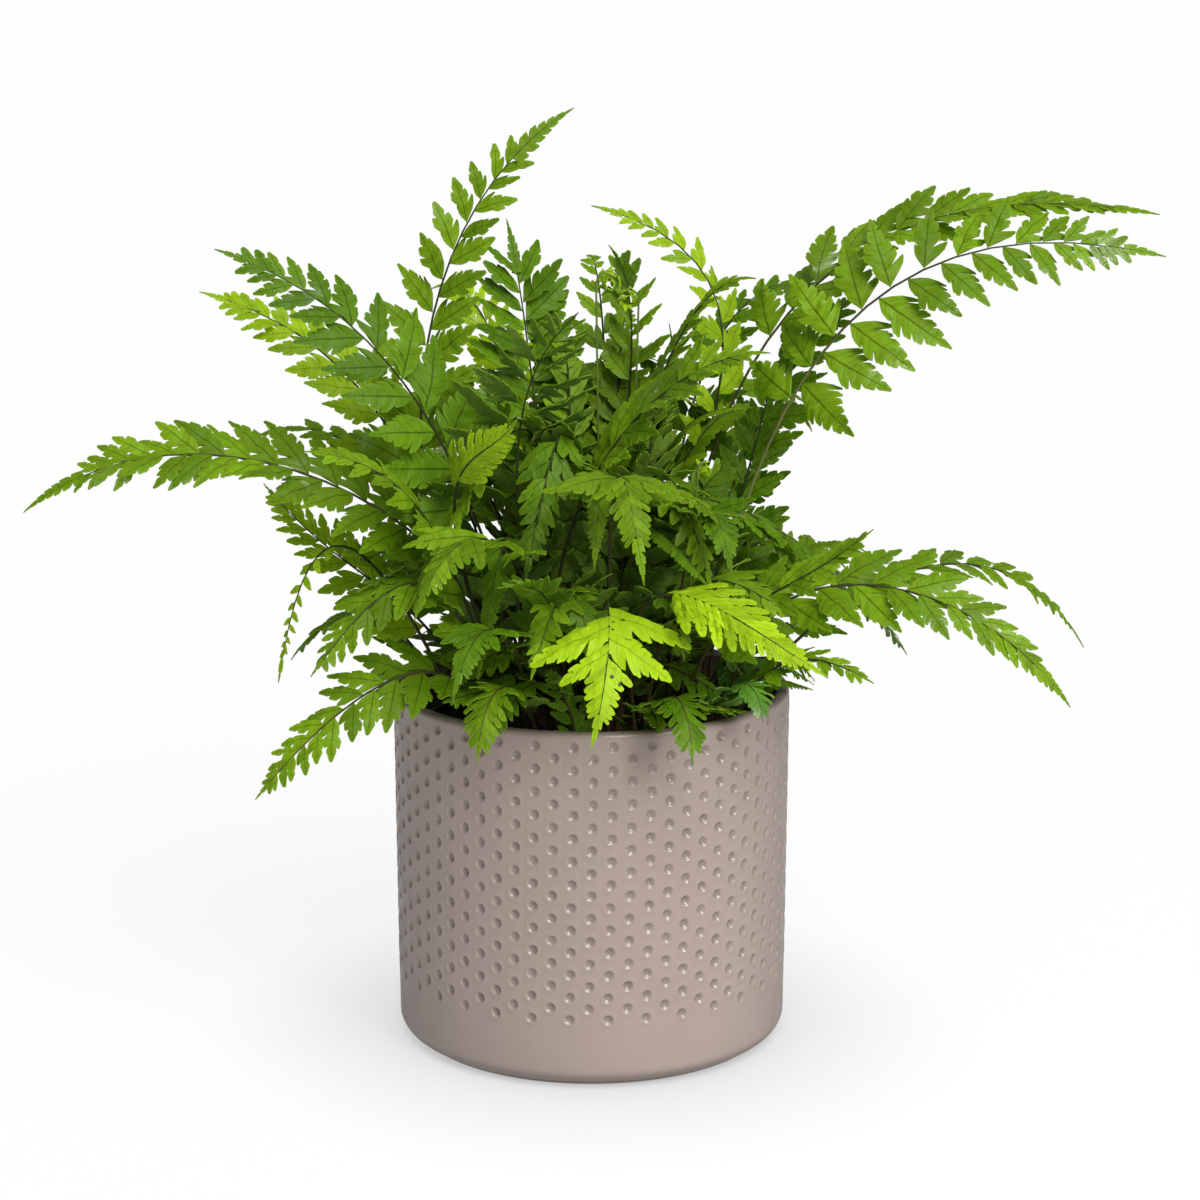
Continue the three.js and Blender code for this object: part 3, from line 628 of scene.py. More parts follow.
def glaze_material(colour):
    """Satin glaze, thin and lighter on raised rims, pooled and darker in the dimples."""
    n = Nodes("taupe_glaze")
    place = n.place()
    xyz = n.parts(place)
    squares = [n.math("MULTIPLY", xyz[axis], xyz[axis]) for axis in "XY"]
    radius = n.math("SQRT", n.math("ADD", *squares))
    slope = (RIM_RADIUS - BASE_RADIUS) / POT_HEIGHT
    wall = n.math("MULTIPLY_ADD", xyz["Z"], slope, BASE_RADIUS * MM)
    proud = n.math("SUBTRACT", radius, wall)
    pooled = n.step(proud, -0.9 * MM, -0.1 * MM, 1.0, 0.0)
    outside = n.step(proud, -2.0 * MM, -1.4 * MM)
    pooled = n.math("MULTIPLY", pooled, outside)
    worn = n.step(proud, 0.12 * MM, 0.5 * MM)
    clouds = n.noise(place, 38.0, 4.0)
    specks = n.step(n.noise(place, 900.0, 1.0), 0.68, 0.74)
    base = n.mix(clouds, shade(colour, 0.93), shade(colour, 1.07))
    base = n.cover(base, pooled, 0.55, shade(colour, 0.62))
    base = n.cover(base, worn, 0.5, shade(colour, 1.25))
    base = n.cover(base, specks, 0.25, shade(colour, 0.6))
    # Painted shade: the glaze's colour darkens where the wall turns away from the view, at the pot's sides.
    edge = n.add("LayerWeight", {"Blend": 0.5}).outputs["Facing"]
    base = n.mix(n.step(edge, 0.25, 0.9, 0.0, 0.6), base, shade(colour, 0.48))
    rough = n.step(n.noise(place, 90.0, 3.0), 0.3, 0.7, 0.30, 0.42)
    ripple = n.bump(n.noise(place, 120.0, 2.0), 0.10, 0.6 * MM)
    shader = n.add("BsdfPrincipled", {
        "Base Color": base, "Roughness": rough, "Normal": ripple,
        "Specular IOR Level": n.step(edge, 0.3, 0.9, 0.2, 0.05),
        "Coat Weight": n.step(edge, 0.3, 0.9, 0.6, 0.03), "Coat Roughness": 0.1})
    return n.finish(shader.outputs[0])


def plastic_material(colour):
    n = Nodes("nursery_plastic")
    place = n.place()
    dust = n.step(n.noise(place, 60.0, 4.0), 0.45, 0.75)
    base = n.cover(colour, dust, 0.5, (0.05, 0.042, 0.035, 1))
    rough = n.step(n.noise(place, 200.0, 2.0), 0.3, 0.7, 0.42, 0.6)
    grain = n.bump(n.noise(place, 1600.0, 1.0), 0.15, 0.1 * MM)
    shader = n.add("BsdfPrincipled", {"Base Color": base, "Roughness": rough, "Normal": grain})
    return n.finish(shader.outputs[0])


def soil_material(colour):
    n = Nodes("potting_soil")
    place = n.place()
    grains = n.noise(place, 420.0, 5.0, 0.7)
    lumps = n.noise(place, 70.0, 3.0)
    fibres = n.step(n.noise(place, 1100.0, 2.0), 0.66, 0.72)
    base = n.mix(lumps, shade(colour, 0.45), shade(colour, 1.5))
    base = n.mix(n.step(grains, 0.45, 0.7), base, shade(colour, 2.4))
    base = n.cover(base, fibres, 0.6, (0.16, 0.11, 0.07, 1))
    normal = n.bump(grains, 0.9, 1.2 * MM)
    shader = n.add("BsdfPrincipled", {"Base Color": base, "Roughness": 0.95, "Normal": normal,
                                      "Specular IOR Level": 0.2})
    return n.finish(shader.outputs[0])


def stem_material(name, colour):
    """Nearly black ribs, brown at the soil, olive on some fronds and greener towards the tips. The map called
    tone tells how olive they are, and the place along the frond."""
    n = Nodes(name)
    place = n.place()
    height = n.parts(place)["Z"]
    tone = n.map("tone")
    patches = n.noise(place, 45.0, 3.0)
    base = n.mix(patches, shade(colour, 0.7), shade(colour, 1.9))
    bare = n.step(tone["Y"], 0.45, 0.75, 1.0, 0.0)
    olive = n.math("MULTIPLY", n.math("MULTIPLY", tone["X"], bare), n.step(patches, 0.25, 0.5, 0.4, 1.0))
    base = n.mix(olive, base, (0.110, 0.112, 0.034, 1))
    base = n.cover(base, n.step(tone["Y"], 0.6, 1.0), 0.7, (0.045, 0.080, 0.015, 1))
    low = n.step(height, 0.125, 0.175, 0.8, 0.0)
    base = n.cover(base, low, n.step(patches, 0.3, 0.6), (0.075, 0.042, 0.020, 1))
    rough = n.step(n.noise(place, 300.0, 2.0), 0.3, 0.7, 0.5, 0.65)
    normal = n.bump(n.noise(place, 700.0, 2.0), 0.2, 0.15 * MM)
    shader = n.add("BsdfPrincipled", {"Base Color": base, "Roughness": rough, "Normal": normal,
                                      "Specular IOR Level": 0.12})
    return n.finish(shader.outputs[0])


def leaf_material(name, colour, underside, tint):
    """A leaflet's face. The map called blade gives the place in it: along the leaflet, the vein of each lobe
    is at one half of its step, and from side to side, 0 is the midrib and 1 the edge. The map called tone
    gives a tone for the leaflet, and its place along the frond."""
    spotted = tint == "young" and not underside
    shiny = tint == "gloss" and not underside
    pale = tint in ("young", "fresh")
    n = Nodes(name)
    place = n.place()
    blade, tone = n.map("blade"), n.map("tone")
    across = n.math("ABSOLUTE", blade["Y"])

    def stripes(value, low, high):
        """Lines wherever the value is a whole number and a half"""
        away = n.math("ABSOLUTE", n.math("SUBTRACT", n.math("FRACT", value), 0.5))
        return n.step(away, low, high, 1.0, 0.0)

    midrib = n.step(across, 0.015, 0.075, 1.0, 0.0)
    vein = n.math("MULTIPLY", stripes(blade["X"], 0.02, 0.11), n.step(across, 0.55, 1.0, 1.0, 0.0))
    forks = stripes(n.math("MULTIPLY_ADD", blade["X"], 4.0, n.math("MULTIPLY", across, 1.5)), 0.05, 0.3)
    mottle = n.noise(place, 260.0, 3.0)
    patch = n.noise(place, 55.0, 2.0)
    light = towards(shade(colour, 1.35), (0.42, 0.62, 0.03, 1), 0.04 if tint == "gloss" else 0.12)
    dark = towards(shade(colour, 0.55), (0.02, 0.10, 0.012, 1), 0.25)
    if pale:
        dark = towards(shade(colour, 0.7), (0.12, 0.30, 0.008, 1), 0.5)
    if underside:
        light = towards(light, (0.30, 0.44, 0.12, 1), 0.42)
        dark = towards(dark, (0.18, 0.29, 0.07, 1), 0.38)
    share = n.math("ADD", n.math("MULTIPLY", tone["X"], 0.62), n.math("MULTIPLY", patch, 0.45))
    base = n.mix(share, dark, light)
    young_end = towards(colour, (0.40, 0.62, 0.03, 1), 0.15 if tint == "gloss" else 0.45)
    base = n.cover(base, n.step(tone["Y"], 0.35, 1.0), 0.15, young_end)
    base = n.mix(n.step(mottle, 0.35, 0.75, 0.0, 0.28), base, shade(colour, 0.6))
    base = n.cover(base, forks, 0.10, shade(colour, 0.55))
    base = n.cover(base, vein, 0.24, shade(colour, 0.42))
    # Painted highlight: a lighter band along each leaflet's edge.
    base = n.cover(base, n.step(across, 0.86, 1.0), 0.35, towards(light, (0.5, 0.66, 0.08, 1), 0.35))
    rib = (0.16, 0.22, 0.05, 1) if underside else shade(colour, 0.55 if pale else 0.30)
    base = n.cover(base, midrib, 0.8, rib)
    if spotted:
        pits = n.add("TexVoronoi", {"Vector": place, "Scale": 190.0}).outputs["Distance"]
        rare = n.step(n.noise(place, 75.0, 1.0), 0.56, 0.62)
        pits = n.math("MULTIPLY", n.step(pits, 0.10, 0.17, 1.0, 0.0), rare)
        base = n.mix(pits, base, (0.03, 0.06, 0.01, 1))
    relief = n.math("MULTIPLY_ADD", mottle, 0.35, n.math("MULTIPLY", patch, 0.3))
    sunk = n.math("ADD", n.math("MULTIPLY", midrib, 0.8), n.math("MULTIPLY", vein, 0.28))
    sunk = n.math("ADD", sunk, n.math("MULTIPLY", forks, 0.16))
    relief = n.math("ADD" if underside else "SUBTRACT", relief, sunk)
    normal = n.bump(relief, 0.55, 0.35 * MM)
    waxy = n.noise(place, 32.0, 1.0)
    if underside:
        low, high, least, most = 0.50, 0.62, 0.10, 0.14
    elif shiny:
        low, high, least, most = 0.18, 0.30, 0.6, 0.9
    else:
        low, high, least, most = 0.34, 0.48, 0.13, 0.5
    rough = n.step(mottle, 0.3, 0.7, low, high)
    rough = n.math("MULTIPLY", rough, n.step(waxy, 0.60, 0.70, 1.0, 0.65))
    front = n.add("BsdfPrincipled", {"Base Color": base, "Roughness": rough, "Normal": normal,
                                     "Specular IOR Level": n.step(waxy, 0.60, 0.70, least, most)})
    glow = n.mix(0.5, base, towards(shade(colour, 2.6), (0.75, 0.95, 0.08, 1), 0.35))
    through = n.add("BsdfTranslucent", {"Color": glow, "Normal": normal})
    both = n.add("MixShader", {0: 0.42, 1: front.outputs[0], 2: through.outputs[0]})
    return n.finish(both.outputs[0])


def dress(piece, slot, *nodes):
    """Says what a finished piece replaces and moves with. The slot is not used."""
    if nodes:
        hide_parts(*nodes)
    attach(piece, BODY)


class FERN_OT_glazed_pot(bpy.types.Operator):
    """Adds the glazed pot, whose wall is pressed all over with small round dimples"""

    bl_idname = "fern.glazed_pot"
    bl_label = "Glazed pot"

    # The radius of a dimple's outer ring, in millimetres, and the rings inside it, whose radius and height are
    # shares of that radius and of the dimple's depth
    RING_RADIUS = 2.75
    RINGS = ((0.84, 0.13), (0.71, 0.07), (0.57, -0.34), (0.39, -0.78), (0.18, -0.97))

    # The heights between which the wall tapers, in millimetres
    LOW = FOOT_STEP + HEEL_ROUND
    HIGH = POT_HEIGHT - LIP_ROUND

    # How far the dimples stray up or down, in millimetres, and round the pot, in radians, how much their depths
    # differ, and over which share of the sheet the straying fades out at its edges
    STRAY = 0.4
    STRAY_TURN = 0.005
    DEPTH_UNREST = 0.3
    FADE = 0.035

    def wall(self, height):
        """The outside radius of the wall at a height, both in millimetres"""
        return BASE_RADIUS + (RIM_RADIUS - BASE_RADIUS) * (height - self.LOW) / (self.HIGH - self.LOW)

    def tile(self, width, pitch, depth):
        """One dimple in a flat tile, whose middle is inset to a ring and pressed in step by step"""
        select_none()
        bpy.ops.mesh.primitive_grid_add(x_subdivisions=2, y_subdivisions=4, size=1)
        tile = bpy.context.object
        bpy.ops.object.mode_set(mode="EDIT")
        bpy.ops.mesh.select_all(action="SELECT")
        bpy.ops.transform.resize(value=(width, pitch, 1))
        bpy.ops.mesh.dissolve_faces()
        bpy.ops.mesh.inset(thickness=0.4 * MM)
        object_mode()
        ring = sorted((v for v in tile.data.vertices if v.select), key=lambda v: math.atan2(v.co.y, v.co.x))
        for i, vertex in enumerate(ring):
            angle = math.tau * (i + 1) / len(ring) - math.pi
            vertex.co = Vector((math.cos(angle), math.sin(angle), 0)) * self.RING_RADIUS * MM
        bpy.ops.object.mode_set(mode="EDIT")
        radius, height = 1.0, 0.0
        for next_radius, next_height in self.RINGS:
            lift = (next_height - height) * depth
            bpy.ops.mesh.extrude_region_move(TRANSFORM_OT_translate={"value": (0, 0, lift)})
            bpy.ops.transform.resize(value=(next_radius / radius, next_radius / radius, 1))
            radius, height = next_radius, next_height
        bpy.ops.mesh.poke()
        object_mode()
        return tile

    def blank(self, width, height, x, y):
        """A flat half tile, which evens out the end of a column."""
        select_none()
        bpy.ops.mesh.primitive_grid_add(x_subdivisions=2, y_subdivisions=2, size=1)
        blank = bpy.context.object
        blank.data.transform(Matrix.Translation((x, y, 0)) @ Matrix.Diagonal((width, height, 1, 1)))
        return blank

    def sheet(self, pot, width, half):
        """The flat sheet: pairs of columns, the second one of each half a pitch lower and a dimple shorter,
        with a blank tile of half a pitch above and below it"""
        second = self.tile(width, pot.pitch, pot.depth)
        first = second.copy()
        first.data = second.data.copy()
        bpy.context.scene.collection.objects.link(first)
        repeat(first, pot.rows, (0, -pot.pitch, 0))
        repeat(second, pot.rows - 1, (0, -pot.pitch, 0))
        second.data.transform(Matrix.Translation((width, -half, 0)))
        head = self.blank(width, half, width, half / 2)
        foot = self.blank(width, half, width, half / 2 - pot.pitch * pot.rows + half)
        pair = join([first, second, head, foot], "dimples")
        repeat(pair, pot.columns // 2, (2 * width, 0, 0))
        return pair

    def wrap(self, sheet, pot, width, half):
        """Wraps the sheet round the wall, with a column of the second kind in front. Slow noise makes the
        dimples a little uneven, and fades out towards the sheet's edges."""
        tall = pot.pitch * pot.rows
        for vertex in sheet.data.vertices:
            turn = (vertex.co.x - width) / (width * pot.columns) * math.tau - math.pi / 2
            down = (half - vertex.co.y) / tall
            free = ease(0, self.FADE, down) * ease(0, self.FADE, 1 - down)
            drift = noise.noise(Vector((math.cos(turn), math.sin(turn), vertex.co.y * 9)) * 7) * free
            place = Vector((math.cos(turn) * 9, math.sin(turn) * 9, vertex.co.y * 170))
            swell = 1 + self.DEPTH_UNREST * noise.noise(place)
            z = pot.top_row + vertex.co.y + self.STRAY * MM * drift
            if down < 1e-4:
                z = self.HIGH * MM
            radius = self.wall(z / MM) * MM + vertex.co.z * swell
            turn += self.STRAY_TURN * drift + pot.lean * (0.5 - down) * free
            vertex.co = (radius * math.cos(turn), radius * math.sin(turn), z)

    def execute(self, context):
        pot = context.scene.fern_pot
        width = math.tau * RIM_RADIUS * MM / pot.columns
        half = pot.pitch / 2
        sheet = self.sheet(pot, width, half)
        self.wrap(sheet, pot, width, half)

        # What is below and above the dimples is spun in as many steps as the sheet has edges.
        steps = 2 * pot.columns
        band_foot = (pot.top_row + half - pot.pitch * pot.rows) / MM
        base = [(0, 0.4), (FOOT_RADIUS - 6, 0.4), (FOOT_RADIUS - 5, 0), (FOOT_RADIUS - 0.3, 0),
                (FOOT_RADIUS, 0.3), (FOOT_RADIUS, FOOT_STEP - 0.2)]
        heel = quarter(BASE_RADIUS - HEEL_ROUND, self.LOW, HEEL_ROUND, -75, 0, 8)
        below = spun("below", [*base, *heel, (BASE_RADIUS, 12.0), (self.wall(band_foot), band_foot)], steps)
        lip = quarter(RIM_RADIUS - LIP_ROUND, self.HIGH, LIP_ROUND, 0, 90, 6)
        inner_lip = quarter(RIM_RADIUS - WALL + LIP_ROUND, self.HIGH, LIP_ROUND, 90, 180, 6)
        inner = BASE_RADIUS - WALL
        well = quarter(inner - HEEL_ROUND, FLOOR + HEEL_ROUND, HEEL_ROUND, 0, -90, 6)
        above = spun("above", [*lip, *inner_lip, (inner + 0.3, 80.0), *well, (0, FLOOR)], steps)
        piece = join([sheet, below, above], "glazed_pot")
        weld(piece, 0.06 * MM)
        smooth(piece, 50)
        piece.data.materials.clear()
        piece.data.materials.append(glaze_material(pot.glaze))
        dress(piece, "glaze", "outer_pot")
        return {"FINISHED"}


class FERN_OT_nursery_pot(bpy.types.Operator):
    """Adds the thin plastic nursery pot that stands inside the glazed one"""

    bl_idname = "fern.nursery_pot"
    bl_label = "Nursery pot"

    def execute(self, context):
        band = LINER_TOP_Z - LINER_BAND
        lip = LINER_RIM_RADIUS
        inside = lip - LINER_WALL - LINER_BAND_PROUD
        profile = [
            (0, LINER_FLOOR_Z + 1.5), (LINER_FOOT_RADIUS - 8, LINER_FLOOR_Z + 1.5),
            (LINER_FOOT_RADIUS - 7, LINER_FLOOR_Z), (LINER_FOOT_RADIUS - 1, LINER_FLOOR_Z),
            (LINER_FOOT_RADIUS, LINER_FLOOR_Z + 1), (lip - LINER_BAND_PROUD, band),
            (lip - 0.4, band), (lip, band + 0.4), (lip, LINER_TOP_Z - 0.6), (lip - 0.5, LINER_TOP_Z),
            (inside + 0.4, LINER_TOP_Z), (inside, LINER_TOP_Z - 0.5), (inside - 0.1, band - 2),
            (LINER_FOOT_RADIUS - LINER_WALL, LINER_FLOOR_Z + 3), (LINER_FOOT_RADIUS - 3, LINER_FLOOR_Z + 2.7),
            (0, LINER_FLOOR_Z + 2.7),
        ]
        piece = spun("plastic_pot", profile, 96)
        weld(piece)
        smooth(piece, 35)
        piece.data.materials.append(plastic_material(context.scene.fern_soil.plastic))
        dress(piece, "nursery_plastic", "nursery_pot")
        return {"FINISHED"}


class FERN_OT_soil(bpy.types.Operator):
    """Adds the root ball, with a lumpy mound on top and loose crumbs of bark"""

    bl_idname = "fern.soil"
    bl_label = "Soil"

    # The least and the most of half a crumb's length, width and height, in millimetres, and how far its
    # corners stand out
    CRUMB = ((0.6, 1.9), (0.5, 1.3), (0.3, 0.8))
    CORNERS = (0.75, 1.2)

    def ball(self, lump):
        """The root ball, with its lumpy mound"""
        foot = LINER_FLOOR_Z + 3.2
        foot_radius = LINER_FOOT_RADIUS - LINER_WALL - 0.6
        rings = [(0, foot), (foot_radius, foot)]
        rings += [(foot_radius + (SOIL_RADIUS - foot_radius) * t / 4, foot + (SOIL_TOP_Z - foot) * t / 4)
                  for t in range(1, 5)]
        steps = 30
        rings += [(SOIL_RADIUS * (1 - t / steps), SOIL_TOP_Z + SOIL_MOUND * math.sin(t / steps * math.pi / 2))
                  for t in range(1, steps + 1)]
        ball = spun("soil_ball", rings, 110)
        weld(ball, 0.05 * MM)
        for vertex in ball.data.vertices:
            if vertex.co.z > SOIL_TOP_Z * MM - 1e-5:
                vertex.co.z += lump * noise.fractal(vertex.co * 90, 0.6, 2.0, 5)
        return ball

    def bark(self, count):
        """Loose crumbs on the mound, each a turned and squeezed copy of one rough lump"""
        draw = random.Random(11)
        crumbs = []
        for _ in range(count):
            away = SOIL_RADIUS * 0.97 * math.sqrt(draw.random())
            turn = draw.uniform(0, math.tau)
            middle = Vector((away * math.cos(turn), away * math.sin(turn),
                             SOIL_TOP_Z + SOIL_MOUND * (1 - (away / SOIL_RADIUS) ** 2))) * MM
            tilt = Euler([draw.uniform(0, math.tau) for _ in range(3)])
            crumbs.append((middle, tilt, [draw.uniform(*limits) * MM for limits in self.CRUMB]))
        select_none()
        bpy.ops.mesh.primitive_ico_sphere_add(subdivisions=1, radius=1)
        crumb = bpy.context.object
        shape = [v.co * draw.uniform(*self.CORNERS) for v in crumb.data.vertices]
        faces = [tuple(p.vertices) for p in crumb.data.polygons]
        bpy.data.objects.remove(crumb)
        points, loose = [], []
        for middle, tilt, size in crumbs:
            start = len(points)
            matrix = Matrix.Translation(middle) @ tilt.to_matrix().to_4x4() @ Matrix.Diagonal((*size, 1))
            points += [matrix @ p for p in shape]
            loose += [tuple(start + i for i in face) for face in faces]
        return mesh_piece("bark_crumbs", points, loose)

    def execute(self, context):
        soil = context.scene.fern_soil
        piece = join([self.ball(soil.lump), self.bark(soil.crumbs)], "potting_soil")
        smooth(piece, 60)
        piece.data.materials.clear()
        piece.data.materials.append(soil_material(soil.earth))
        dress(piece, "soil", "soil")
        return {"FINISHED"}


class Spine:
    """The curve that a frond follows, in millimetres. It passes waist and crest at a third and at two thirds
    of its parameter, and shares are shares of its length."""

    STEPS = 200

    def __init__(self, root, waist, crest, tip, roll):
        a = Vector((*root, SOIL_TOP_Z - ROOT_DEPTH))
        b, c, d = Vector(waist), Vector(crest), Vector(tip)
        self.ends = (a, (-5 * a + 18 * b - 9 * c + 2 * d) / 6, (2 * a - 9 * b + 18 * c - 5 * d) / 6, d)
        self.roll = math.radians(roll)
        heading = Vector((d.x - a.x, d.y - a.y, 0)).normalized()
        self.level = Vector((-heading.y, heading.x, 0))
        self.lengths = [0.0]
        last = a
        for i in range(1, self.STEPS + 1):
            here = self.point(i / self.STEPS)
            self.lengths.append(self.lengths[-1] + (here - last).length)
            last = here

    def point(self, t):
        a, b, c, d = self.ends
        u = 1 - t
        return u * u * u * a + 3 * u * u * t * b + 3 * u * t * t * c + t * t * t * d

    def parameter(self, share):
        """The curve's parameter at a share of its length"""
        goal = max(0.0, min(1.0, share)) * self.lengths[-1]
        low, high = 0, self.STEPS
        while high - low > 1:
            middle = (low + high) // 2
            if self.lengths[middle] > goal:
                high = middle
            else:
                low = middle
        span = self.lengths[high] - self.lengths[low]
        return (low + (goal - self.lengths[low]) / span) / self.STEPS

    def at(self, share):
        return self.point(self.parameter(share))

    def frame(self, share):
        """The way that the frond runs, its left side and its upper face."""
        t = self.parameter(share)
        a, b, c, d = self.ends
        u = 1 - t
        tangent = (u * u * (b - a) + 2 * u * t * (c - b) + t * t * (d - c)).normalized()
        side = (self.level - self.level.dot(tangent) * tangent).normalized()
        side = Matrix.Rotation(self.roll, 3, tangent) @ side
        return tangent, side, tangent.cross(side)


class Leaflet:
    """One flat leaflet of unit length, cut from a grid: the midrib runs along X, and the lobes' veins slant
    forward. The leading side is +Y. Its map has a whole step for each lobe, with the vein at one half."""

    def __init__(self, cut, lobes, seed):
        draw = random.Random(seed)
        self.cut = cut
        self.columns = LOBE_COLUMNS * lobes
        self.rows = LEAFLET_ROWS if lobes > 2 else 2
        self.depths = [[draw.uniform(0.7, 1.3) for _ in range(lobes + 1)] for _ in range(2)]
        self.swells = [[draw.uniform(0.92, 1.1) for _ in range(lobes + 1)] for _ in range(2)]
        select_none()
        bpy.ops.mesh.primitive_grid_add(x_subdivisions=self.columns, y_subdivisions=self.rows, size=1)
        grid = bpy.context.object
        self.points, self.places = [], []
        for vertex in grid.data.vertices:
            column = round((vertex.co.x + 0.5) * self.columns)
            row = round(vertex.co.y * self.rows)
            self.points.append(self.shape(column, row))
            self.places.append((column / LOBE_COLUMNS, 2 * row / self.rows))
        self.faces = [tuple(p.vertices) for p in grid.data.polygons]
        self.middle = [i for i, place in enumerate(self.places) if place[1] == 0]
        bpy.data.objects.remove(grid)

    def width(self, t):
        """The half width at a share of the length, before the lobes are cut"""
        cut = self.cut
        rise, fall = cut["rise"], cut["fall"]
        top = rise / (rise + fall)
        if cut["base"]:
            body = cut["base"] + (cut["wide"] - cut["base"]) * math.sin(min(1.0, t / 0.3) * math.pi / 2)
            return body * (1 - t) ** fall
        return cut["wide"] * (t / top) ** rise * ((1 - t) / (1 - top)) ** fall

    def shape(self, column, row):
        cut = self.cut
        t = (column / self.columns) ** COLUMN_CROWDING
        x = cut["stalk"] + (1 - cut["stalk"]) * t
        if row == 0:
            return Vector((x, 0, 0))
        side = 1 if row > 0 else -1
        out = 2 * abs(row) / self.rows
        lobe, phase = divmod(column, LOBE_COLUMNS)
        inside = 0 < column < self.columns
        notch = NOTCHES[phase] * self.depths[side > 0][lobe] if inside else 0.0
        if lobe == 1 and side > 0:
            notch *= SECOND_CUT
        half = self.width(t) * (self.swells[side > 0][lobe] if phase else 1.0)
        y = half * out * (1 - cut["depth"] * notch * (1.0 if out == 1 else INNER_CUT))
        if lobe == 0 and phase:
            y *= cut["first"][side < 0]
        # The lobes lean forward, and the tooth before each notch stands furthest forward.
        slant = cut["slant"] * (ease(0, 0.4, t) if cut["base"] else 1)
        x += slant * y * (1 - t) + (LEADS[phase] / self.columns * out if inside else 0.0)
        vein = 1 - abs(phase / LOBE_COLUMNS - 0.5) * 2
        z = HALF_RISE * y - HALF_BEND * y * y / cut["wide"]
        if out < 1:
            z += SWELLING * (1 - vein) * min(1.0, half / 0.1)
        return Vector((min(x, 1.0), side * y, z))


class FrondMaker:
    """Makes fronds: a thin dark stem, and leaflets cut into toothed lobes along both its sides"""

    def __init__(self, settings):
        self.settings = settings
        self.lobe_length = LOBE_LENGTH
        self.leaflets = {}
        self.stem_material = stem_material("fern_stem", settings.stem)
        self.sides = {}
        for tint in ("deep", "mid", "fresh", "young", "gloss"):
            colour = getattr(settings, tint)
            names = ("fern_" + tint + "_face", "fern_" + tint + "_underside")
            self.sides[tint] = tuple(
                bpy.data.materials.get(name) or leaf_material(name, colour, under, tint)
                for name, under in zip(names, (False, True)))

    def materials(self, tint):
        return (*self.sides[tint], self.stem_material)

    def leaflet(self, cut, length, kind=0):
        lobes = max(1, min(MOST_LOBES, round(length / self.lobe_length)))
        if (cut, lobes, kind) not in self.leaflets:
            self.leaflets[cut, lobes, kind] = Leaflet(CUTS[cut], lobes, kind)
        return self.leaflets[cut, lobes, kind]

    def finish_stem(self, piece, tint, olive=0.0, sides=0):
        """Gives a tube the maps and the materials of the blade that it is joined to. Its map called tone says
        how olive it is, and how far along it is, where its rings have as many points as sides."""
        for layer in ("blade", "tone"):
            piece.data.uv_layers.new(name=layer)
        last = len(piece.data.vertices) - 1
        for loop, value in zip(piece.data.loops, piece.data.uv_layers["tone"].data):
            value.uv = (olive, (loop.vertex_index // sides) / (last // sides) if sides else 0.8)
        piece.data.materials.clear()
        for material in self.materials(tint):
            piece.data.materials.append(material)
        for face in piece.data.polygons:
            face.material_index = 2
        return piece

    def stem(self, name, tint, ends, olive):
        """The stem, as one tapered tube along its spine's four control points"""
        select_none()
        bpy.ops.curve.primitive_bezier_curve_add()
        curve = bpy.context.object
        curve.name = name + "_stem"
        spline = curve.data.splines[0]
        ends = [p * MM for p in ends]
        for point, place, left, right in zip(
                spline.bezier_points, (ends[0], ends[3]), (ends[0], ends[2]), (ends[1], ends[3])):
            point.handle_left_type = point.handle_right_type = "FREE"
            point.co, point.handle_left, point.handle_right = place, left, right
        spline.bezier_points[0].radius = self.settings.stem_low / MM
        spline.bezier_points[1].radius = self.settings.stem_tip / MM
        curve.data.bevel_depth = 1 * MM
        curve.data.bevel_resolution = STEM_SIDES // 2 - 2
        curve.data.resolution_u = STEM_POINTS
        curve.data.use_fill_caps = True
        select_only(curve)
        bpy.ops.object.convert(target="MESH")
        return self.finish_stem(bpy.context.object, tint, olive, STEM_SIDES)

    def reach(self, share, longest, habit):
        """A leaflet's length, and the gap to the next one on its side, at a share of the blade"""
        tail = habit.get("tail")
        length = (1 - share) ** habit.get("taper", LENGTH_TAPER) + LENGTH_LEAST
        length *= 1 + habit.get("long", 0) * math.sin(math.pi * share) - TIP_THINNING * ease(0.6, 1, share)
        gap = habit.get("gap") or GAP_LOW + (GAP_TIP - GAP_LOW) * share
        if tail:
            narrow = habit.get("width", TAIL_WIDTH) * min(1.0, (1 - share) / (1 - tail)) ** TAIL_CLOSE
            body = 1 - ease(tail - TAIL_LEAD, tail + 0.04, share)
            length = narrow + (length - narrow) * body
            gap = TAIL_GAP + (gap - TAIL_GAP) * body
        length *= longest
        return length, max(GAP_LEAST, length * gap)

    def stations(self, spine, longest, bare, pairs, habit, draw):
        """Each leaflet's share of the blade, its side, its length, and the gap to the next one"""
        blade = (BLADE_END - bare) * spine.lengths[-1]
        unrest = self.settings.unrest
        number = habit.get("number")
        if not number and pairs and "tail" not in habit:
            number = LEAFLETS_PER_PAIR * pairs
        crowd = 1.0
        if number:
            usual = 0
            for k in range(SAMPLES):
                usual += 1 / SAMPLES * blade / self.reach((k + 0.5) / SAMPLES, longest, habit)[1]
            crowd = usual / number
        end = (1 - habit.get("tip", TIP_SHARE) - bare) / (BLADE_END - bare) - 0.01
        share, way = 0.3 * GAP_LOW * longest / blade, 1
        while share < end:
            length, gap = self.reach(share, longest, habit)
            gap *= crowd
            length *= 1 + unrest * draw.uniform(-LENGTH_UNREST, LENGTH_UNREST)
            yield share, way, length, gap
            share += gap / 2 / blade * (1 + unrest * draw.uniform(-GAP_UNREST, GAP_UNREST))
            way = -way

    def tip(self, spine, tip_share, draw):
        """The points and the faces of the leaflet at the tip, which lies along the spine"""
        length = tip_share * spine.lengths[-1]
        leaflet = self.leaflet("tail", TIP_FINENESS * length, draw.randrange(VARIANTS))
        points = []
        for x, y, z in leaflet.points:
            share = 1 - tip_share * (1 - x)
            _, side, face = spine.frame(share)
            points.append((spine.at(share) + (side * y + face * z) * length) * MM)
        return leaflet, points

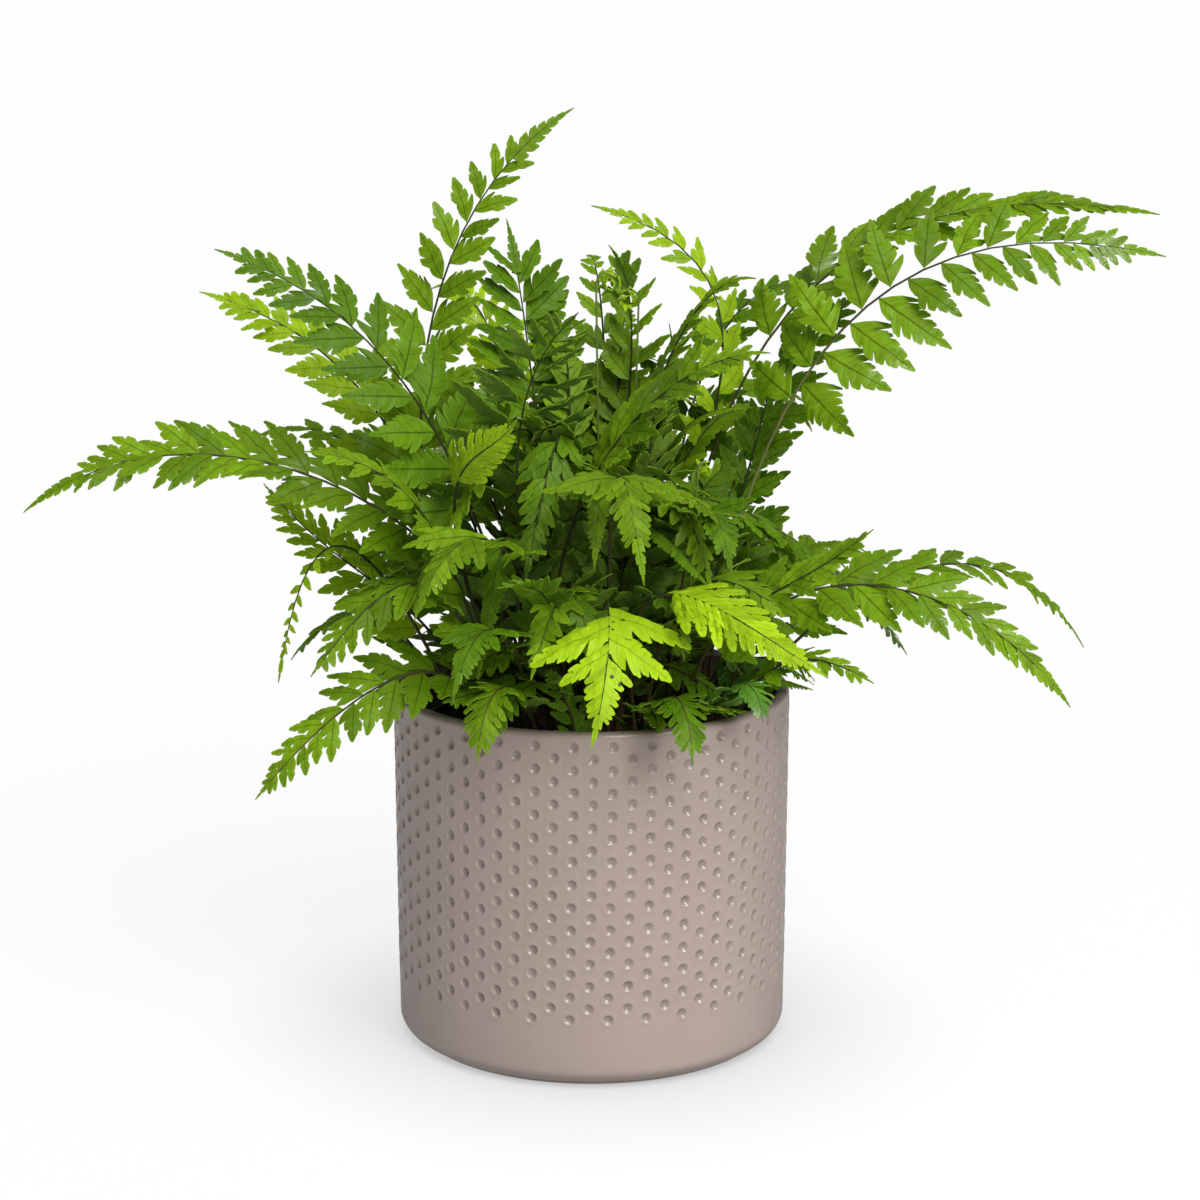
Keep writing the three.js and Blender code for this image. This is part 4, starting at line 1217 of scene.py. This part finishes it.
    def blade(self, name, tint, cut_name, spine, longest, pairs, bare, fold, habit, draw):
        """All the leaflets of one frond, each a bent copy of a flat one, and the lines of their midribs"""
        settings = self.settings
        total = spine.lengths[-1]
        tail, level = habit.get("tail"), habit.get("level", 0)
        joined = WEB_HOLD_TAIL if tail else WEB_HOLD
        web_from = CUTS[cut_name]["web"]
        points, faces, places, tones, ribs = [], [], [], [], []

        def vary(most):
            """A random angle of up to so many degrees, either way"""
            return math.radians(draw.uniform(-most, most))

        def add(leaflet, new_points, way, tone):
            start = len(points)
            points.extend(new_points)
            for polygon in leaflet.faces:
                corners = polygon if way < 0 else polygon[::-1]
                faces.append(tuple(start + i for i in corners))
                places.extend(leaflet.places[i] for i in corners)
                tones.extend([tone] * len(corners))

        for old, way, length, gap in self.stations(spine, longest, bare, pairs, habit, draw):
            share = bare + (BLADE_END - bare) * old
            web = ease(web_from, web_from + WEB_RUN, old)
            if tail:
                web = max(web, ease(tail - TAIL_LEAD, tail + 0.02, old))
            unrest = settings.unrest * (1 - WEB_CALM * web)
            sweep = SWEEP_LOW + (SWEEP_TIP - SWEEP_LOW) * old + unrest * vary(SWEEP_UNREST)
            sweep += math.radians(habit.get("spread", 0) * (1 - old) - habit.get("close", 0) * old)
            leaflet = self.leaflet("webbed" if web > WEB_CUT else cut_name, length, draw.randrange(VARIANTS))

            tangent, side, face = spine.frame(share)
            rise = math.radians(fold) + unrest * vary(RISE_UNREST)
            out = way * math.cos(rise) * side + math.sin(rise) * face
            up = math.cos(rise) * face - way * math.sin(rise) * side
            along = math.cos(sweep) * tangent + math.sin(sweep) * out
            across = math.sin(sweep) * tangent - math.cos(sweep) * out
            rib_radius = (settings.stem_low + (settings.stem_tip - settings.stem_low) * share) / MM
            root = spine.at(share) + side * way * rib_radius * 0.5

            sag = LEAFLET_SAG + unrest * draw.uniform(*SAG_UNREST)
            twist = unrest * vary(TWIST_UNREST)
            lean = habit.get("seek", SEEKING) * self.turn(LIGHT, across, up)
            lean += level * self.turn(Vector((0, 0, 1)), across, up)
            lean *= 1 - WEB_STILL * web
            seed = Vector((draw.uniform(0, 50), draw.uniform(0, 50), 0))
            reach = WEB_FOOT * gap / total / (leaflet.cut["base"] or leaflet.cut["wide"])
            new_points = []
            for point in leaflet.points:
                x, y, z = point
                for high, long_way, cross_way, layer in WAVES:
                    wave = noise.noise(Vector((x * long_way, y * cross_way, layer)) + seed)
                    z += high * wave * min(1, 4 * x)
                turn = twist * x + lean * ease(0, 0.25, x)
                spread = across * math.cos(turn) + up * math.sin(turn)
                lift = up * math.cos(turn) - across * math.sin(turn)
                bend = -sag * x * x * length
                place = root + along * (x * length) + spread * (y * length) + lift * (z * length) + up * bend
                hold = web * (1 - ease(joined, joined + WEB_RELEASE, x))
                if hold > 0:
                    on_rib = spine.at(share + y * reach) + along * (x * length) + up * (z * length + bend)
                    place = place.lerp(on_rib, hold)
                new_points.append(place * MM)
            add(leaflet, new_points, way, (draw.random(), old))
            if web < MIDRIB_WEB and length > MIDRIB_LEAST:
                middle = [new_points[i] for i in leaflet.middle]
                line = [spine.at(share) * MM, *middle[:len(middle) * 3 // 4]]
                ribs.append((line, rib_radius * MIDRIB_SHARE * MM))
        leaflet, new_points = self.tip(spine, habit.get("tip", TIP_SHARE), draw)
        add(leaflet, new_points, -1, (draw.random(), 1.0))
        thickness = settings.thickness
        blade = self.finish_blade(name + "_blade", tint, points, faces, places, tones, thickness, True)
        return blade, ribs

    def finish_blade(self, name, tint, points, faces, places, tones, thickness, welded=False):
        """Leaflets as one mesh, with its maps and materials, and a thickness"""
        blade = mesh_piece(name, points, faces)
        for layer, values in (("blade", places), ("tone", tones)):
            data = blade.data.uv_layers.new(name=layer).data
            for loop, value in zip(data, values):
                loop.uv = value
        for material in self.materials(tint):
            blade.data.materials.append(material)
        if welded:
            weld(blade, 0.02 * MM, outward=False)
        apply_modifier(blade, "SOLIDIFY", thickness=thickness, offset=0.0, material_offset=1,
                       material_offset_rim=0, use_even_offset=False)
        return blade

    def turn(self, goal, across, up):
        """The angle about a leaflet's own midrib that turns its face to a goal, up to the most"""
        return max(-MOST_TURN, min(MOST_TURN, math.atan2(-goal.dot(across), goal.dot(up))))

    def midribs(self, name, tint, ribs):
        """Thin stalks that run on along the leaflets as their midribs"""
        points, faces = [], []
        for line, radius in ribs:
            tangent = (line[-1] - line[0]).normalized()
            side = tangent.orthogonal().normalized()
            other = tangent.cross(side)
            start = len(points)
            for i, place in enumerate(line):
                r = radius * (1 - 0.85 * i / (len(line) - 1))
                points += [place + r * (side * math.cos(a) + other * math.sin(a))
                           for a in (0, math.tau / 3, 2 * math.tau / 3)]
            for i in range(len(line) - 1):
                for k in range(3):
                    a, b = start + 3 * i + k, start + 3 * i + (k + 1) % 3
                    faces.append((a, b, b + 3, a + 3))
            last = start + 3 * (len(line) - 1)
            faces += [(start + 2, start + 1, start), (last, last + 1, last + 2)]
        return self.finish_stem(mesh_piece(name + "_midribs", points, faces), tint)

    def make(self, name, tint, cut, root, waist, crest, tip, longest, pairs, bare, roll, fold, habit, seed):
        draw = random.Random(seed)
        tint = habit.get("tint", tint)
        if habit.get("turned"):
            roll, fold = roll + 180, -fold
        spine = Spine(root, waist, crest, tip, roll)
        blade, ribs = self.blade(name, tint, cut, spine, longest, pairs, bare, fold, habit, draw)
        olive = habit.get("olive", draw.uniform(0.0, 0.6))
        parts = [blade, self.stem(name, tint, spine.ends, olive)]
        if ribs:
            parts.append(self.midribs(name, tint, ribs))
        return join(parts, "fern_" + name)


class FERN_OT_fronds(bpy.types.Operator):
    """Adds the fronds that take the place of the plain ones, and shorter ones that fill the crown"""

    bl_idname = "fern.fronds"
    bl_label = "Fronds"

    # The first seeds of the long fronds and of the short ones
    SEED = 100
    FILL_SEED = 500

    # The short fronds: what spreads them evenly over their fan, how far they stray from that and bend to a
    # side, in radians, how far out and up they are at their waist, and the least and the most of the bare
    # share of the stem, and of the roll and the fold in degrees
    SPREAD = 0.618
    STRAY = 0.12
    BEND = 0.35
    WAIST = (0.36, 0.62)
    BARE = (0.3, 0.42)
    ROLL = (-25, 25)
    FOLD = (-12, 8)

    def fill(self, maker, draw, number, light, middle, fan, root, crest, crest_height, tip, tip_height,
             longest):
        """One short frond, which rises from the soil and droops outwards"""
        turn = math.radians(middle + fan * (2 * (number * self.SPREAD % 1) - 1))
        turn += draw.uniform(-self.STRAY, self.STRAY)
        bend = draw.uniform(-self.BEND, self.BEND)
        root_away, crest_away, tip_away = (draw.uniform(*r) for r in (root, crest, tip))
        crest_up, tip_up = draw.uniform(*crest_height), draw.uniform(*tip_height)

        def place(away, angle):
            return away * math.cos(angle), away * math.sin(angle)

        waist_out, waist_up = self.WAIST
        waist = (*place(root_away + waist_out * (crest_away - root_away), turn + 0.1 * bend),
                 SOIL_TOP_Z + waist_up * (crest_up - SOIL_TOP_Z))
        return maker.make(
            f"fill_{number}", "mid" if draw.randrange(3) < light else "deep", draw.choice(("plain", "lobed")),
            place(root_away, turn), waist, (*place(crest_away, turn + 0.5 * bend), crest_up),
            (*place(tip_away, turn + bend), tip_up), draw.uniform(*longest), None, draw.uniform(*self.BARE),
            draw.uniform(*self.ROLL), draw.uniform(*self.FOLD), {"tail": draw.choice((None, None, 0.6))},
            self.FILL_SEED + number)

    def execute(self, context):
        maker = FrondMaker(context.scene.fern_fronds)
        for number, row in enumerate(FRONDS):
            name, tint = row[:2]
            piece = maker.make(*row, HABITS.get(name, {}), self.SEED + number)
            smooth(piece, 40)
            dress(piece, "leaf_" + tint, "frond_" + name)
        draw = random.Random(7)
        maker.lobe_length = FILL_LOBE_LENGTH
        maker.leaflets.clear()
        number = 0
        for name, slot, count, *ranges in FILLS:
            fronds = []
            for _ in range(count):
                fronds.append(self.fill(maker, draw, number, *ranges))
                number += 1
            piece = join(fronds, "fern_young_" + name)
            smooth(piece, 40)
            dress(piece, slot)
        return {"FINISHED"}


class FERN_OT_croziers(bpy.types.Operator):
    """Adds a few thin young fronds whose tips are still rolled up"""

    bl_idname = "fern.croziers"
    bl_label = "Rolled fronds"

    # The stem's steps, its radius at the soil and how much thinner it gets, in millimetres
    STEM_STEPS = 8
    STEM_RADIUS = (0.6, 0.25)

    # The roll's steps and turns, how much closer it gets, and its own radius and how much thinner that gets
    ROLL_STEPS = 32
    TURNS = 1.6
    CLOSING = 0.84
    ROLL_RADIUS = (0.38, 0.12)

    # The leaflets on the roll: how many, the least and the most of their length in millimetres, their
    # thickness, and their tone and place on a frond
    BUDS = 22
    BUD_LENGTH = (2.2, 3.6)
    BUD_THICKNESS = 0.25 * MM
    BUD_TONE = (0.6, 0.5)

    def line(self, root, roll, radius, lean):
        """The places and the radii of a thin stem and its roll, and which way the roll faces"""
        foot = Vector((*root, SOIL_TOP_Z - ROOT_DEPTH)) * MM
        middle = Vector(roll) * MM
        way = Matrix.Rotation(math.radians(lean), 3, "Z") @ Vector((1, 0, 0))
        up = Vector((0, 0, 1))
        reach = middle - way * radius * MM
        thick, thinner = self.STEM_RADIUS
        stem = [(foot.lerp(reach, t / self.STEM_STEPS), thick - thinner * t / self.STEM_STEPS)
                for t in range(self.STEM_STEPS)]
        thick, thinner = self.ROLL_RADIUS
        coil = []
        for i in range(self.ROLL_STEPS + 1):
            share = i / self.ROLL_STEPS
            angle = share * self.TURNS * math.tau
            away = radius * MM * (1 - self.CLOSING * share)
            place = middle + away * (up * math.sin(angle) - way * math.cos(angle))
            coil.append((place, thick - thinner * share))
        return stem, coil, way.cross(up)

    def buds(self, name, maker, coil, middle, face, draw):
        """Small leaflets, still folded along the roll"""
        points, faces, places = [], [], []
        for number in range(self.BUDS):
            at = 3 + number * (len(coil) - 5) // self.BUDS
            place, ahead = coil[at][0], coil[at + 1][0]
            tangent = (ahead - place).normalized()
            inward = (middle - place).normalized()
            leaflet = maker.leaflet("webbed", 5)
            length = draw.uniform(*self.BUD_LENGTH) * MM
            out = face if number % 2 else -face
            along = (out * 0.75 + tangent * 0.55 + inward * draw.uniform(-0.5, 0.3)).normalized()
            across = (tangent - tangent.dot(along) * along).normalized()
            up = along.cross(across)
            start = len(points)
            points += [place + length * (along * p.x + across * p.y + up * (p.z - 0.3 * p.x * p.x))
                       for p in leaflet.points]
            for polygon in leaflet.faces:
                faces.append(tuple(start + i for i in polygon))
                places += [leaflet.places[i] for i in polygon]
        tones = [self.BUD_TONE] * len(places)
        return maker.finish_blade(name, "young", points, faces, places, tones, self.BUD_THICKNESS)

    def tube(self, name, line):
        """A tube along the places of a line, with a radius in millimetres at each"""
        curve = bpy.data.curves.new(name, "CURVE")
        curve.dimensions = "3D"
        spline = curve.splines.new("POLY")
        spline.points.add(len(line) - 1)
        for point, (place, thick) in zip(spline.points, line):
            point.co = (*place, 1)
            point.radius = thick
        curve.bevel_depth = 1 * MM
        curve.bevel_resolution = 1
        curve.use_fill_caps = True
        piece = bpy.data.objects.new(name, curve)
        bpy.context.scene.collection.objects.link(piece)
        select_only(piece)
        bpy.ops.object.convert(target="MESH")
        return bpy.context.object

    def execute(self, context):
        maker = FrondMaker(context.scene.fern_fronds)
        maker.stem_material = stem_material("young_stem", (0.09, 0.13, 0.02, 1))
        draw = random.Random(3)
        pieces = []
        for number, (root, roll, radius, lean) in enumerate(CROZIERS):
            stem, coil, face = self.line(root, roll, radius, lean)
            pieces.append(maker.finish_stem(self.tube(f"crozier_{number}", stem + coil), "young"))
            pieces.append(self.buds(f"buds_{number}", maker, coil, Vector(roll) * MM, face, draw))
        piece = join(pieces, "fern_croziers")
        smooth(piece, 60)
        dress(piece, "leaf_young")
        return {"FINISHED"}


class FERN_OT_stage(bpy.types.Operator):
    """Adds the pale floor, the soft lights and the camera"""

    bl_idname = "fern.stage"
    bl_label = "Stage"

    # What the camera and the lamps look at, where the lamps stand and how large they are, the way to the sky's
    # bright side, and how much of its strength the sky has on its dark and on its bright side
    TARGET = Vector((3.0, 0.0, 156.0)) * MM
    SUN_PLACE = (0.85, -1.55, 2.15)
    KEY_PLACE = (0.75, -1.15, 0.8)
    KEY_SIZE = (0.24, 0.50)
    SUN_ANGLE = math.radians(46)
    SKY_WAY = (0.50, -0.55, 0.67)
    SKY_RANGE = (0.30, 1.70)

    # The floor's size, and how near the pot it gets darker, in metres, and the camera's lens and sensor in
    # millimetres
    FLOOR_SIZE = 80
    FLOOR_NEAR = 0.075
    LENS = 90
    SENSOR = 36

    def lamp(self, kind, name, place, power, **settings):
        bpy.ops.object.light_add(type=kind, location=place)
        lamp = bpy.context.object
        lamp.name = name
        lamp.data.energy = power
        for key, value in settings.items():
            setattr(lamp.data, key, value)
        lamp.rotation_euler = (self.TARGET - Vector(place)).to_track_quat("-Z", "Y").to_euler()

    def execute(self, context):
        stage = context.scene.fern_stage
        select_none()
        bpy.ops.mesh.primitive_plane_add(size=self.FLOOR_SIZE)
        floor = bpy.context.object
        floor.name = "pale_floor"
        n = Nodes("pale_floor")
        # Painted shadow: the floor's glow dims beside the pot, as far as ambient occlusion finds geometry near.
        near = n.add("AmbientOcclusion", {"Distance": self.FLOOR_NEAR}, samples=4).outputs["AO"]
        shaded = n.math("MULTIPLY_ADD", near, stage.nearness, 1 - stage.nearness)
        glow = n.add("Emission", {"Color": stage.floor, "Strength": n.math("MULTIPLY", shaded, stage.glow)})
        matt = n.add("BsdfDiffuse", {"Color": shade(stage.floor, 0.1)})
        both = n.add("AddShader", {0: glow.outputs[0], 1: matt.outputs[0]})
        floor.data.materials.append(n.finish(both.outputs[0]))

        world = bpy.data.worlds.new("studio")
        context.scene.world = world
        world.use_nodes = True
        n = Nodes(world)
        way = n.add("TexCoord").outputs["Generated"]
        to_light = n.add("VectorMath", {0: way, 1: self.SKY_WAY}, operation="DOT_PRODUCT").outputs["Value"]
        strength = n.step(to_light, -1, 1, *(share * stage.sky for share in self.SKY_RANGE))
        n.finish(n.add("Background", {"Color": (1, 1, 1, 1), "Strength": strength}).outputs[0], "World")
        self.lamp("SUN", "broad_light", self.SUN_PLACE, stage.sun, angle=self.SUN_ANGLE)
        wide, high = self.KEY_SIZE
        self.lamp("AREA", "key", self.KEY_PLACE, stage.key, shape="RECTANGLE", size=wide, size_y=high)

        back = math.cos(stage.pitch) * stage.distance
        rise = math.sin(stage.pitch) * stage.distance
        place = self.TARGET + Vector((0, -back, rise))
        bpy.ops.object.camera_add(location=place)
        camera = bpy.context.object
        camera.name = "photo_camera"
        camera.rotation_euler = (self.TARGET - place).to_track_quat("-Z", "Y").to_euler()
        camera.data.lens = self.LENS
        camera.data.sensor_width = self.SENSOR
        camera.data.clip_end = 100
        context.scene.camera = camera
        context.scene.view_settings.view_transform = "Standard"
        return {"FINISHED"}


class FERN_PT_panel(bpy.types.Panel):
    """The steps that make the fern, in order"""

    bl_label = "Potted fern"
    bl_space_type = "VIEW_3D"
    bl_region_type = "UI"
    bl_category = "Fern"

    def draw(self, context):
        for operator in OPERATORS:
            self.layout.operator(operator.bl_idname)
        for group, _ in SETTINGS:
            box = self.layout.box()
            settings = getattr(context.scene, group)
            for key in settings.__annotations__:
                box.prop(settings, key)


OPERATORS = (
    FERN_OT_glazed_pot,
    FERN_OT_nursery_pot,
    FERN_OT_soil,
    FERN_OT_fronds,
    FERN_OT_croziers,
    FERN_OT_stage,
)
SETTINGS = (
    ("fern_pot", PotSettings),
    ("fern_soil", SoilSettings),
    ("fern_fronds", FrondSettings),
    ("fern_stage", StageSettings),
)


def register():
    for name, group in SETTINGS:
        bpy.utils.register_class(group)
        setattr(bpy.types.Scene, name, PointerProperty(type=group))
    for operator in OPERATORS:
        bpy.utils.register_class(operator)
    bpy.utils.register_class(FERN_PT_panel)


def unregister():
    bpy.utils.unregister_class(FERN_PT_panel)
    for operator in reversed(OPERATORS):
        bpy.utils.unregister_class(operator)
    for name, group in reversed(SETTINGS):
        delattr(bpy.types.Scene, name)
        bpy.utils.unregister_class(group)


def main():
    register()
    bpy.ops.fern.glazed_pot()
    bpy.ops.fern.nursery_pot()
    bpy.ops.fern.soil()
    bpy.ops.fern.fronds()
    bpy.ops.fern.croziers()
    bpy.ops.fern.stage()


if __name__ == "__main__":
    main()
